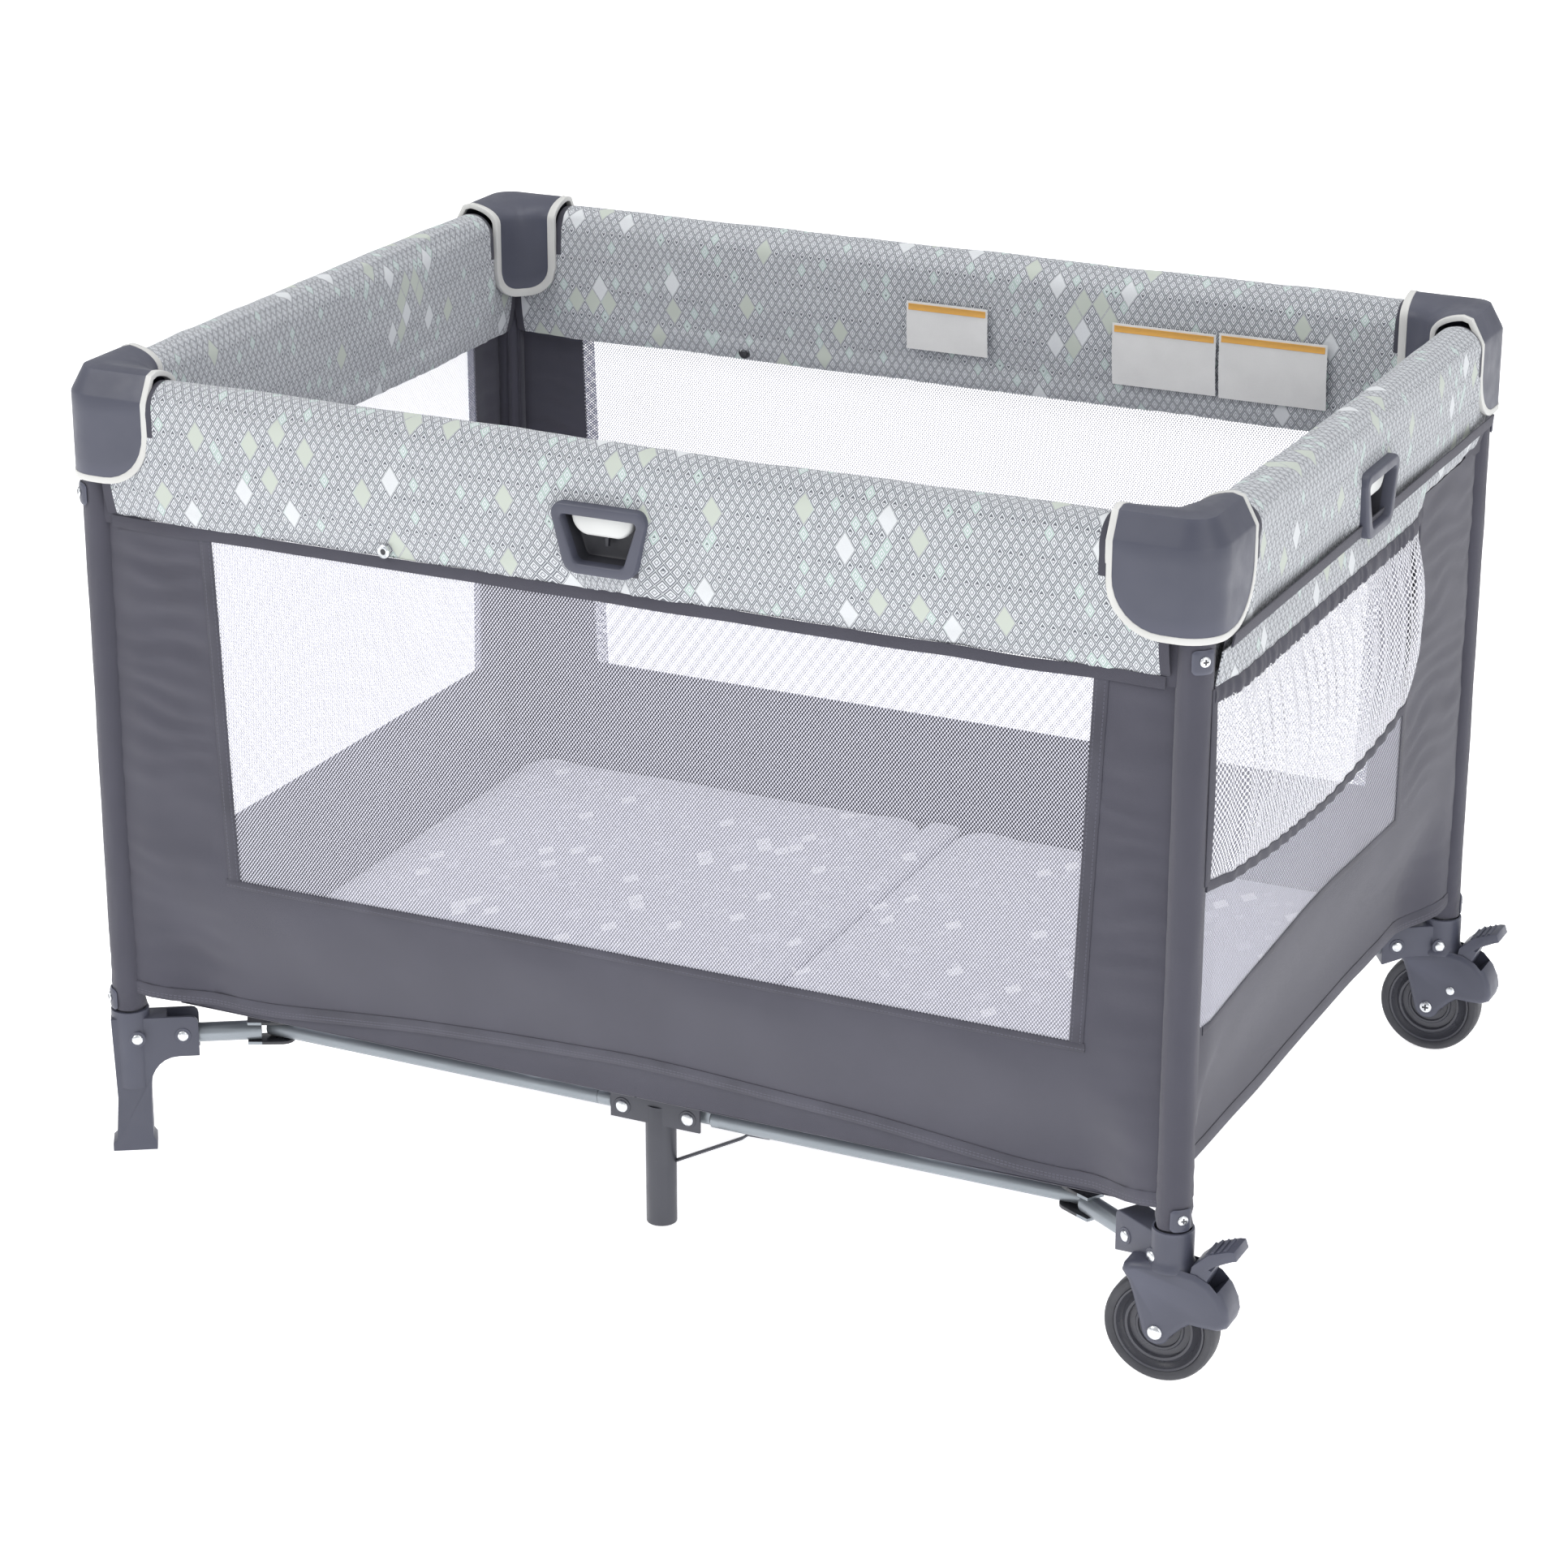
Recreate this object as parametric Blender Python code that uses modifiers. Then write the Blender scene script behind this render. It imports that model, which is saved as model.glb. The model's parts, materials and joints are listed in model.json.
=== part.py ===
"""Travel play yard, standing open on two feet and two casters.

Metres, +Z up. The origin is on the floor under the middle of the whole object. +X runs along the long
side towards the casters, and -Y is the front. Everything is laid out around the centre of the four posts,
which the empty yard_frame holds, and each moving piece hangs from an empty on its joint's axis.
"""
import math

import bmesh
import bpy
from mathutils import Matrix, Vector

# Plan of the frame
HALF_X = 0.480              # post axis to the middle, along the long side
HALF_Y = 0.347              # the same across the short side
CENTRE_X = -0.01425         # post centre, seen from the middle of the whole object
GAP = 0.0003                # between pieces that touch

# Posts and corner caps
POST_R = 0.0127
POST_WALL = 0.0012
POST_BOTTOM = 0.0945
POST_TOP = 0.690
CAP_REACH = 0.085           # from the post axis along each rail
CAP_HALF = 0.0245           # post axis to the outer face
CAP_ROUND = 0.018
CAP_WALL = 0.003
CAP_BOTTOM = 0.605
CAP_TOP = 0.704
CAP_SKIRT_ROUND = 0.032     # rounding of the lower corners
CAP_SPIGOT_R = 0.0108
CAP_SPIGOT_DEPTH = 0.035    # down inside the post
PAST = 0.01                 # how far a cutter runs past the face it opens

# Folding top rails
RAIL_Z = 0.668
RAIL_R = 0.011
RAIL_WALL = 0.0012
RAIL_PIVOT = 0.038          # rail hinge, from the post axis
RAIL_START = 0.026
LATCH_PIVOT = 0.033         # half the distance between the two hinges of a latch
RAIL_END_PAST_PIVOT = 0.009

# Centre latch with its handle
LATCH_HALF = 0.045
LATCH_CHEEK = (0.0115, 0.0145)
LATCH_BLOCK_HALF = 0.018
LATCH_RISE = 0.013
LATCH_OVERLAP = 0.001               # how far joined pieces of the latch reach into each other
NECK_Y = (-0.009, 0.0035)           # between the block and the handle
HANDLE_Z = (0.598, 0.6535)
HANDLE_TOP_HALF = 0.044
HANDLE_LOW_HALF = 0.030
HANDLE_OUT = 0.0285
HANDLE_IN = -0.004
RECESS_Z = (0.606, 0.646)
RECESS_TOP_HALF = 0.034
RECESS_LOW_HALF = 0.022
RECESS_DEPTH = 0.024
BUTTON_HALF = 0.022
BUTTON_Z = (0.6285, 0.6385)
BUTTON_EDGE = 0.003                 # straight height of its ends, above the rounded grip
BUTTON_THICK = 0.012

# Base frame
BASE_Z = 0.105
BRACE_ANGLE = math.radians(32)      # corner links, from the long side
BRACKET_PIVOT = 0.045               # from the post axis, along the link
LINK_LENGTH = 0.085                 # bracket hinge to clevis hinge
LINK_R = 0.0085
LINK_WALL = 0.0012
LINK_START = 0.035
LINK_END = 0.112
EAR_R = 0.011
EAR_Z = (0.0078, 0.0105)
LONG_R = 0.0075
LONG_WALL = 0.0011
LONG_PAST_CLEVIS = 0.012
HUB_PIVOT = 0.0306
YOKE_SHOULDER = 0.026               # where the long tube ends, from the hub's hinge
YOKE_BARREL = 0.0135
YOKE_HALF = 0.003
TANG_R = 0.007
SPIGOT_R = 0.0058
SPIGOT_LENGTH = 0.018
HUB_HALF = 0.0416
HUB_INNER = 0.0085
HUB_OUTER = 0.0110
HUB_LOW = -0.011
HUB_HIGH = 0.0105
HUB_WEB = 0.0085
LEG_R = 0.013
LEG_BOTTOM = 0.001
LEG_TOP = 0.005                     # above the hinge line, inside the channel

# Brackets, feet and caster housings
SOCKET_R = 0.0165
SOCKET_TOP = 0.132
BORE_R = POST_R + GAP
BRACKET_REACH = 0.058
BRACKET_HALF = 0.012
BRACKET_ROUND = 0.006
BRACKET_Z = (0.088, 0.125)
SLOT_HALF = LINK_R + 0.0008
SLOT_START = 0.031
WHEEL_R = 0.046
WHEEL_X = -0.006                    # axle, from the post axis
TYRE_HALF = 0.0105
TYRE_BEVEL = 0.004
RIM_R = 0.030
RIM_HALF = 0.009
AXLE_R = 0.004
FORK_INNER = 0.0143
FORK_OUTER = 0.0172
PEDAL_HALF = 0.0138
PEDAL_PIVOT = (0.016, 0.066)        # from the post axis, and above the floor
PEDAL_ROOM = (22, 66)               # opening in the housing, in degrees round the axle

# Soft goods
COVER_HALF = 0.0225
COVER_WALL = 0.0045
COVER_Z = (0.580, 0.6995)
COVER_END_GAP = 0.0008
COVER_NOTCH_GAP = 0.0005
WALL_FACE = 0.0105                  # outer face, outside the post axes
WALL_THICK = 0.004
WALL_Z = (0.160, 0.578)
WALL_END = 0.0135
FLOOR_HALF = (0.455, 0.322)
FLOOR_Z = (0.1255, 0.1285)
FLOOR_SPLIT = 0.001                 # half the gap between the two halves
PAD_HALF = (0.452, 0.320)
PAD_Z = (0.129, 0.151)
PAD_SPINE = 0.018
POCKET_Y = (-0.333, 0.155)
POCKET_Z = (0.430, 0.572)
POCKET_DEPTH = 0.030
POCKET_CLEAR = 0.002                # from the wall
POCKET_SKIN = 0.003

FRONT_PLANE = Matrix.Rotation(math.radians(90), 4, "X")     # outline (x, z), thickness along y

CORNERS = {"fl": (-1, -1), "fr": (1, -1), "bl": (-1, 1), "br": (1, 1)}
SIDES = {
    # name: turn about Z from the front side, half the post spacing, names of the two half rails
    "front": (0, HALF_X, ("left", "right")),
    "right": (90, HALF_Y, ("front", "back")),
    "back": (180, HALF_X, ("right", "left")),
    "left": (270, HALF_Y, ("back", "front")),
}


# ---------------------------------------------------------------- scene, materials and object helpers
def clear_scene():
    for obj in list(bpy.data.objects):
        bpy.data.objects.remove(obj, do_unlink=True)


def new_collection(name):
    collection = bpy.data.collections.new(name)
    bpy.context.scene.collection.children.link(collection)
    return collection


def principled(name, colour, roughness, metallic=0.0):
    material = bpy.data.materials.new(name)
    material.use_nodes = True
    shader = material.node_tree.nodes["Principled BSDF"]
    shader.inputs["Base Color"].default_value = (*colour, 1.0)
    shader.inputs["Roughness"].default_value = roughness
    shader.inputs["Metallic"].default_value = metallic
    return material


clear_scene()
PARTS = new_collection("travel_play_yard")
TOOLS = new_collection("cutters")
MATERIALS = {
    "slate_plastic": principled("slate_plastic", (0.10, 0.105, 0.12), 0.5),
    "pale_plastic": principled("pale_plastic", (0.75, 0.75, 0.73), 0.4),
    "slate_tube": principled("slate_tube", (0.09, 0.09, 0.105), 0.55, 0.2),
    "silver_tube": principled("silver_tube", (0.36, 0.38, 0.41), 0.38, 0.7),
    "tyre_rubber": principled("tyre_rubber", (0.05, 0.05, 0.055), 0.6),
    "print_fabric": principled("print_fabric", (0.50, 0.52, 0.52), 0.9),
    "slate_fabric": principled("slate_fabric", (0.11, 0.11, 0.13), 0.9),
    "pad_fabric": principled("pad_fabric", (0.75, 0.76, 0.77), 0.9),
    "pocket_mesh": principled("pocket_mesh", (0.80, 0.80, 0.83), 0.9),
}


def add_object(name, data, material=None):
    """A part when it has a material, and a cutter when it has none."""
    obj = bpy.data.objects.new(name, data)
    if material:
        data.materials.append(MATERIALS[material])
        PARTS.objects.link(obj)
    else:
        obj.hide_render = True
        obj.display_type = "WIRE"
        TOOLS.objects.link(obj)
    return obj


def shade(mesh, angle=35):
    mesh.shade_smooth()
    mesh.set_sharp_from_angle(angle=math.radians(angle))


def from_bmesh(name, bm, material=None):
    bmesh.ops.recalc_face_normals(bm, faces=bm.faces)
    mesh = bpy.data.meshes.new(name)
    bm.to_mesh(mesh)
    bm.free()
    shade(mesh)
    return add_object(name, mesh, material)


def box(name, low, high, material=None):
    bm = bmesh.new()
    bmesh.ops.create_cube(bm, size=1)
    for axis, (start, end) in enumerate(zip(low, high)):
        for vert in bm.verts:
            vert.co[axis] = end if vert.co[axis] > 0 else start
    return from_bmesh(name, bm, material)


def rod(name, radius, start, end, material=None, segments=20):
    """A solid round bar from one point to another."""
    start, end = Vector(start), Vector(end)
    bm = bmesh.new()
    turn = (end - start).to_track_quat("Z", "Y").to_matrix().to_4x4()
    middle = Matrix.Translation((start + end) / 2)
    bmesh.ops.create_cone(bm, cap_ends=True, segments=segments, radius1=radius, radius2=radius,
                          depth=(end - start).length, matrix=middle @ turn)
    return from_bmesh(name, bm, material)


def turned(name, profile, start, direction, material=None, steps=20):
    """Turns a closed profile of (radius, height) points about the axis from start along direction."""
    mesh = bpy.data.meshes.new(name)
    count = len(profile)
    mesh.from_pydata([(r, 0, h) for r, h in profile], [(i, (i + 1) % count) for i in range(count)], [])
    obj = add_object(name, mesh, material)
    obj.location = start
    obj.rotation_euler = Vector(direction).to_track_quat("Z", "Y").to_euler()
    screw = obj.modifiers.new("turn", "SCREW")
    screw.steps = screw.render_steps = steps
    screw.use_merge_vertices = True
    screw.merge_threshold = 0.00001
    screw.use_smooth_shade = True
    return obj


def tube(name, radius, wall, start, end, material=None, steps=16):
    length = (Vector(end) - Vector(start)).length
    profile = [(radius, length), (radius, 0), (radius - wall, 0), (radius - wall, length)]
    return turned(name, profile, start, Vector(end) - Vector(start), material, steps)


def prism(name, outline, thickness, place=Matrix(), material=None):
    """Extrudes a closed flat outline by thickness, centred on the plane that place gives."""
    curve = bpy.data.curves.new(name, "CURVE")
    curve.dimensions = "2D"
    curve.fill_mode = "BOTH"
    curve.extrude = thickness / 2
    spline = curve.splines.new("POLY")
    spline.points.add(len(outline) - 1)
    for point, (u, v) in zip(spline.points, outline):
        point.co = (u, v, 0, 1)
    spline.use_cyclic_u = True
    guide = bpy.data.objects.new(name, curve)
    TOOLS.objects.link(guide)
    bpy.context.view_layer.update()
    evaluated = guide.evaluated_get(bpy.context.evaluated_depsgraph_get())
    mesh = bpy.data.meshes.new_from_object(evaluated)
    bpy.data.objects.remove(guide, do_unlink=True)
    bm = bmesh.new()
    bm.from_mesh(mesh)
    bpy.data.meshes.remove(mesh)
    bmesh.ops.remove_doubles(bm, verts=bm.verts, dist=0.00001)
    bmesh.ops.transform(bm, matrix=place, verts=bm.verts)
    return from_bmesh(name, bm, material)


def arc(centre, radius, start, end, steps=6):
    """Points on a round stretch of an outline, with angles in degrees."""
    points = []
    for i in range(steps + 1):
        angle = math.radians(start + (end - start) * i / steps)
        points.append((centre[0] + radius * math.cos(angle), centre[1] + radius * math.sin(angle)))
    return points


def boolean(target, operation, *tools):
    for tool in tools:
        modifier = target.modifiers.new(operation.lower(), "BOOLEAN")
        modifier.operation = operation
        modifier.object = tool
        tool.parent = target
        tool.matrix_parent_inverse = target.matrix_basis.inverted()
    return target


def join(target, *tools):
    return boolean(target, "UNION", *tools)


def cut(target, *tools):
    return boolean(target, "DIFFERENCE", *tools)


# ---------------------------------------------------------------- empties on the joint axes
PIVOTS = {}


def pivot(name, position, parent=None):
    """An empty on a joint's axis. Positions are counted from the centre of the posts."""
    empty = bpy.data.objects.new(name, None)
    empty.empty_display_size = 0.03
    PARTS.objects.link(empty)
    PIVOTS[name] = Vector(position)
    if parent:
        empty.parent = bpy.data.objects[parent]
        empty.location = Vector(position) - PIVOTS[parent]
    else:
        empty.location = position
    return name


def hang(obj, pivot_name):
    """Hangs a piece from a joint's empty and leaves it where it is."""
    obj.parent = bpy.data.objects[pivot_name]
    obj.location -= PIVOTS[pivot_name]
    return obj


# ---------------------------------------------------------------- places that several pieces share
def post_axis(corner):
    sx, sy = CORNERS[corner]
    return Vector((sx * HALF_X, sy * HALF_Y, 0))


def link_direction(corner):
    sx, sy = CORNERS[corner]
    return Vector((-sx * math.cos(BRACE_ANGLE), -sy * math.sin(BRACE_ANGLE), 0))


def on_link(corner, reach, height=BASE_Z):
    return post_axis(corner) + link_direction(corner) * reach + Vector((0, 0, height))


def link_plane(corner):
    """The upright plane through the post and the corner link: outline (reach, z)."""
    direction = link_direction(corner)
    turn = Matrix.Rotation(math.atan2(direction.y, direction.x), 4, "Z")
    return Matrix.Translation(post_axis(corner)) @ turn @ FRONT_PLANE


def clevis(corner):
    return on_link(corner, BRACKET_PIVOT + LINK_LENGTH)


def hub_pivot(corner):
    sx = CORNERS[corner][0]
    return Vector((sx * HUB_PIVOT, clevis(corner).y, BASE_Z))


def side_place(side):
    turn, _, _ = SIDES[side]
    out = HALF_Y if side in ("front", "back") else HALF_X
    return Matrix.Rotation(math.radians(turn), 4, "Z") @ Matrix.Translation((0, -out, 0))


def move(obj, matrix):
    """Carries a piece modelled on the front side to another side of the yard."""
    obj.matrix_basis = matrix @ obj.matrix_basis
    return obj


# ---------------------------------------------------------------- joint axes, from the front left post
def all_pivots():
    pivot("yard_frame", (CENTRE_X, 0, 0))
    PIVOTS["yard_frame"] = Vector((0, 0, 0))
    fixed = {"fl": "yard_frame"}
    chains = [("front", "fl", "fr", ("left", "right")), ("left", "fl", "bl", ("front", "back")),
              ("back", "bl", "br", ("left", "right")), ("right", "fr", None, ("front", "back"))]
    for side, start, end, halves in chains:
        along = Vector((1, 0, 0)) if side in ("front", "back") else Vector((0, 1, 0))
        half = HALF_X if side in ("front", "back") else HALF_Y
        height = Vector((0, 0, RAIL_Z))
        middle = post_axis(start) + along * half + height
        base = fixed[start]
        near = post_axis(start) + along * RAIL_PIVOT + height
        base = pivot(f"hinge_rail_{side}_{halves[0]}", near, base)
        base = pivot(f"hinge_latch_{side}", middle - along * LATCH_PIVOT, base)
        pivot(f"slide_button_{side}", middle, base)
        base = pivot(f"hinge_rail_{side}_{halves[1]}", middle + along * LATCH_PIVOT, base)
        if end:
            far = post_axis(start) + along * (2 * half - RAIL_PIVOT) + height
            fixed[end] = pivot(f"hinge_corner_{end}", far, base)
    for corner in CORNERS:
        base = pivot(f"hinge_link_{corner}", on_link(corner, BRACKET_PIVOT), fixed[corner])
        base = pivot(f"hinge_clevis_{corner}", clevis(corner), base)
        if corner in ("fl", "bl"):
            base = pivot(f"swivel_yoke_{corner}", clevis(corner), base)
            hub = "front" if corner == "fl" else "back"
            base = pivot(f"hinge_hub_{hub}", hub_pivot(corner), base)
    for half, sx in (("left", -1), ("right", 1)):
        pivot(f"hinge_floor_{half}", (sx * FLOOR_SPLIT, 0, FLOOR_Z[0]), "hinge_hub_front")
    pivot("slide_pad", (0, 0, PAD_Z[0]), "hinge_hub_front")
    for half, sx in (("left", -1), ("right", 1)):
        pivot(f"hinge_pad_{half}", (sx * PAD_SPINE, 0, PAD_Z[0]), "slide_pad")
    for corner in ("fr", "br"):
        axle = post_axis(corner) + Vector((WHEEL_X, 0, WHEEL_R))
        pivot(f"axle_wheel_{corner}", axle, fixed[corner])
        pedal = post_axis(corner) + Vector((PEDAL_PIVOT[0], 0, PEDAL_PIVOT[1]))
        pivot(f"hinge_pedal_{corner}", pedal, fixed[corner])
    return fixed


FIXED = all_pivots()


# ---------------------------------------------------------------- posts and corner caps
def make_post(corner):
    axis = post_axis(corner)
    low = axis + Vector((0, 0, POST_BOTTOM))
    high = axis + Vector((0, 0, POST_TOP))
    hang(tube(f"post_{corner}", POST_R, POST_WALL, low, high, "slate_tube", 20), FIXED[corner])


def cap_outline(inset, overrun):
    """Plan of a corner cap, with the outside of the yard towards +u and +v."""
    edge = CAP_HALF - inset
    centre = CAP_HALF - CAP_ROUND
    end = -CAP_REACH - overrun
    points = [(end, edge)] + arc((centre, centre), CAP_ROUND - inset, 90, 0)
    points += [(edge, end), (-edge, end)]
    hollow = arc((-CAP_REACH, -CAP_REACH), CAP_REACH - edge, 0, 90, 8)
    if not overrun:
        hollow = hollow[1:-1]
    return points + hollow + [(end, -edge)]


def make_cap(corner):
    sx, sy = CORNERS[corner]

    def plan(name, inset, overrun, low, high, material=None):
        outline = [(sx * u, sy * v) for u, v in cap_outline(inset, overrun)]
        place = Matrix.Translation(post_axis(corner) + Vector((0, 0, (low + high) / 2)))
        return prism(name, outline, high - low, place, material)

    def skirt_cutter(name, along_x):
        """Rounds the lower corner at the end of one arm."""
        end = -CAP_REACH
        low = CAP_BOTTOM
        inner = (end + CAP_SKIRT_ROUND, low + CAP_SKIRT_ROUND)
        outline = [(end - PAST, low - PAST), (inner[0], low - PAST)]
        outline += arc(inner, CAP_SKIRT_ROUND, 270, 180)
        outline += [(end - PAST, inner[1])]
        sign = sx if along_x else sy
        turn = Matrix.Rotation(0 if along_x else math.radians(90), 4, "Z")
        place = Matrix.Translation(post_axis(corner)) @ turn @ FRONT_PLANE
        return prism(name, [(sign * u, v) for u, v in outline], CAP_REACH + CAP_HALF, place)

    cap = plan(f"cap_{corner}", 0, 0, CAP_BOTTOM, CAP_TOP, "slate_plastic")
    cavity = plan(f"cap_{corner}_cavity", CAP_WALL, PAST, CAP_BOTTOM - PAST, CAP_TOP - CAP_WALL)
    axis = post_axis(corner)
    spigot_low = axis + Vector((0, 0, POST_TOP - CAP_SPIGOT_DEPTH))
    spigot_high = axis + Vector((0, 0, CAP_TOP - CAP_WALL / 2))
    spigot = rod(f"cap_{corner}_spigot", CAP_SPIGOT_R, spigot_low, spigot_high, segments=16)
    round_x = skirt_cutter(f"cap_{corner}_round_x", True)
    round_y = skirt_cutter(f"cap_{corner}_round_y", False)
    cut(cap, cavity, round_x, round_y)
    join(cap, spigot)
    hang(cap, FIXED[corner])


# ---------------------------------------------------------------- feet, caster housings, wheels, pedals
def socket_cutters(corner, name):
    """The bore for the post and the slot that the corner link swings in."""
    axis = post_axis(corner)
    bore_low = axis + Vector((0, 0, POST_BOTTOM - GAP))
    bore = rod(f"{name}_bore", BORE_R, bore_low, axis + Vector((0, 0, SOCKET_TOP + PAST)))
    low = BRACKET_Z[0] - PAST
    high = BRACKET_Z[1] + PAST
    end = BRACKET_REACH + PAST
    outline = [(SLOT_START, low), (end, low), (end, high), (SLOT_START, high)]
    return bore, prism(f"{name}_slot", outline, 2 * SLOT_HALF, link_plane(corner))


def bracket_end():
    """The end of the diagonal bracket, with its upper corner rounded."""
    low, high = BRACKET_Z
    centre = (BRACKET_REACH - BRACKET_ROUND, high - BRACKET_ROUND)
    return [(BRACKET_REACH, low)] + arc(centre, BRACKET_ROUND, 0, 90, 3)


def bracket_outline():
    low, high = BRACKET_Z
    return [(0, high), (0, low)] + bracket_end()


def make_foot(corner):
    high = BRACKET_Z[1]
    outline = [(-0.0165, high), (-0.0160, 0.050), (-0.0185, 0.010), (-0.0220, 0.007), (-0.0220, 0.0),
               (0.0185, 0.0), (0.0185, 0.008), (0.0160, 0.012), (0.0165, 0.050)]
    outline += arc((0.040, 0.0645), 0.0235, 180, 90)
    outline += bracket_end()
    name = f"foot_{corner}"
    foot = prism(name, outline, 2 * BRACKET_HALF, link_plane(corner), "slate_plastic")
    axis = post_axis(corner)
    socket_low = axis + Vector((0, 0, 0.060))
    socket = rod(f"{name}_socket", SOCKET_R, socket_low, axis + Vector((0, 0, SOCKET_TOP)))
    join(foot, socket)
    cut(foot, *socket_cutters(corner, name))
    hang(foot, FIXED[corner])


def fork_outline():
    """Side view of a caster housing, counted from the post axis and the floor."""
    boss = arc((WHEEL_X, WHEEL_R), 0.0115, 190, 350, 6)
    rear = [(-0.0165, 0.104), (-0.030, 0.101), (-0.036, 0.093), (-0.026, 0.072)]
    fender = [(0.013, 0.056), (0.032, 0.058), (0.044, 0.062), (0.0485, 0.073), (0.040, 0.089),
              (0.026, 0.101), (0.0165, 0.104)]
    return rear + boss + fender


def make_caster(corner):
    name = f"caster_{corner}"
    axis = post_axis(corner)
    upright = Matrix.Translation(axis) @ FRONT_PLANE
    fork = prism(name, fork_outline(), 2 * FORK_OUTER, upright, "slate_plastic")
    socket_low = axis + Vector((0, 0, 0.0965))
    socket = rod(f"{name}_socket", SOCKET_R, socket_low, axis + Vector((0, 0, SOCKET_TOP)))
    bracket = prism(f"{name}_bracket", bracket_outline(), 2 * BRACKET_HALF, link_plane(corner))
    axle = axis + Vector((WHEEL_X, 0, WHEEL_R))
    across = Vector((0, FORK_INNER, 0))
    wheel_room = rod(f"{name}_wheel_room", WHEEL_R + 0.002, axle - across, axle + across, segments=32)
    start, end = PEDAL_ROOM
    sector = arc((WHEEL_X, WHEEL_R), 0.040, start, end, 4)
    sector += arc((WHEEL_X, WHEEL_R), 0.085, end, start, 4)
    pedal_room = prism(f"{name}_pedal_room", sector, 2 * FORK_INNER, upright)
    half = Vector((0, FORK_OUTER - 0.001, 0))
    pin = rod(f"{name}_axle", AXLE_R, axle - half, axle + half, segments=12)
    join(fork, socket, bracket)
    cut(fork, wheel_room, pedal_room, *socket_cutters(corner, name))
    join(fork, pin)
    hang(fork, FIXED[corner])


def make_wheel(corner):
    axle = post_axis(corner) + Vector((WHEEL_X, 0, WHEEL_R))
    side = Vector((0, 1, 0))
    edge = TYRE_HALF - TYRE_BEVEL
    tyre = [(WHEEL_R, edge), (WHEEL_R, -edge), (WHEEL_R - TYRE_BEVEL, -TYRE_HALF),
            (RIM_R + GAP, -TYRE_HALF), (RIM_R + GAP, TYRE_HALF), (WHEEL_R - TYRE_BEVEL, TYRE_HALF)]
    rim = [(RIM_R, RIM_HALF), (RIM_R, -RIM_HALF), (AXLE_R + GAP, -RIM_HALF), (AXLE_R + GAP, RIM_HALF)]
    hang(turned(f"tyre_{corner}", tyre, axle, side, "tyre_rubber", 32), f"axle_wheel_{corner}")
    hang(turned(f"wheel_hub_{corner}", rim, axle, side, "slate_plastic", 24), f"axle_wheel_{corner}")


def make_pedal(corner):
    """A lever that straddles the wheel, with a ribbed pad outside the housing."""
    name = f"brake_pedal_{corner}"
    place = Matrix.Translation(post_axis(corner)) @ FRONT_PLANE
    px, pz = PEDAL_PIVOT
    pad = [(0.0195, 0.1005), (0.0260, 0.0960), (0.0400, 0.1020), (0.0530, 0.1090), (0.0570, 0.1100),
           (0.0545, 0.1250), (0.0500, 0.1260), (0.0340, 0.1200), (0.0210, 0.1075)]
    bridge = [(0.0225, 0.0885), (0.0300, 0.0840), (0.0370, 0.0930), (0.0330, 0.1040),
              (0.0220, 0.1000)]
    arm = arc((px, pz), 0.0055, 165, 330, 6) + [(0.0290, 0.0860), (0.0220, 0.0890)]
    pedal = prism(name, pad, 2 * PEDAL_HALF, place, "slate_plastic")
    join(pedal, prism(f"{name}_bridge", bridge, 2 * PEDAL_HALF, place))
    for label, sy in (("front", -1), ("back", 1)):
        beside = Matrix.Translation((0, sy * (PEDAL_HALF - 0.001), 0))
        join(pedal, prism(f"{name}_arm_{label}", arm, 0.002, beside @ place))
    hang(pedal, f"hinge_pedal_{corner}")


# ---------------------------------------------------------------- top rails and their latches
def make_rail_half(side, half_name, sign):
    """One half of a rail, from its corner hinge to the latch, on the -u (sign -1) or +u side."""
    _, half, _ = SIDES[side]
    outer = Vector((sign * (half - RAIL_START), 0, RAIL_Z))
    inner = Vector((sign * (LATCH_PIVOT - RAIL_END_PAST_PIVOT), 0, RAIL_Z))
    rail = tube(f"rail_{side}_{half_name}", RAIL_R, RAIL_WALL, inner, outer, "slate_tube")
    hang(move(rail, side_place(side)), f"hinge_rail_{side}_{half_name}")


def trapezoid(top_half, low_half, low, high):
    return [(-top_half, high), (-low_half, low), (low_half, low), (top_half, high)]


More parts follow.
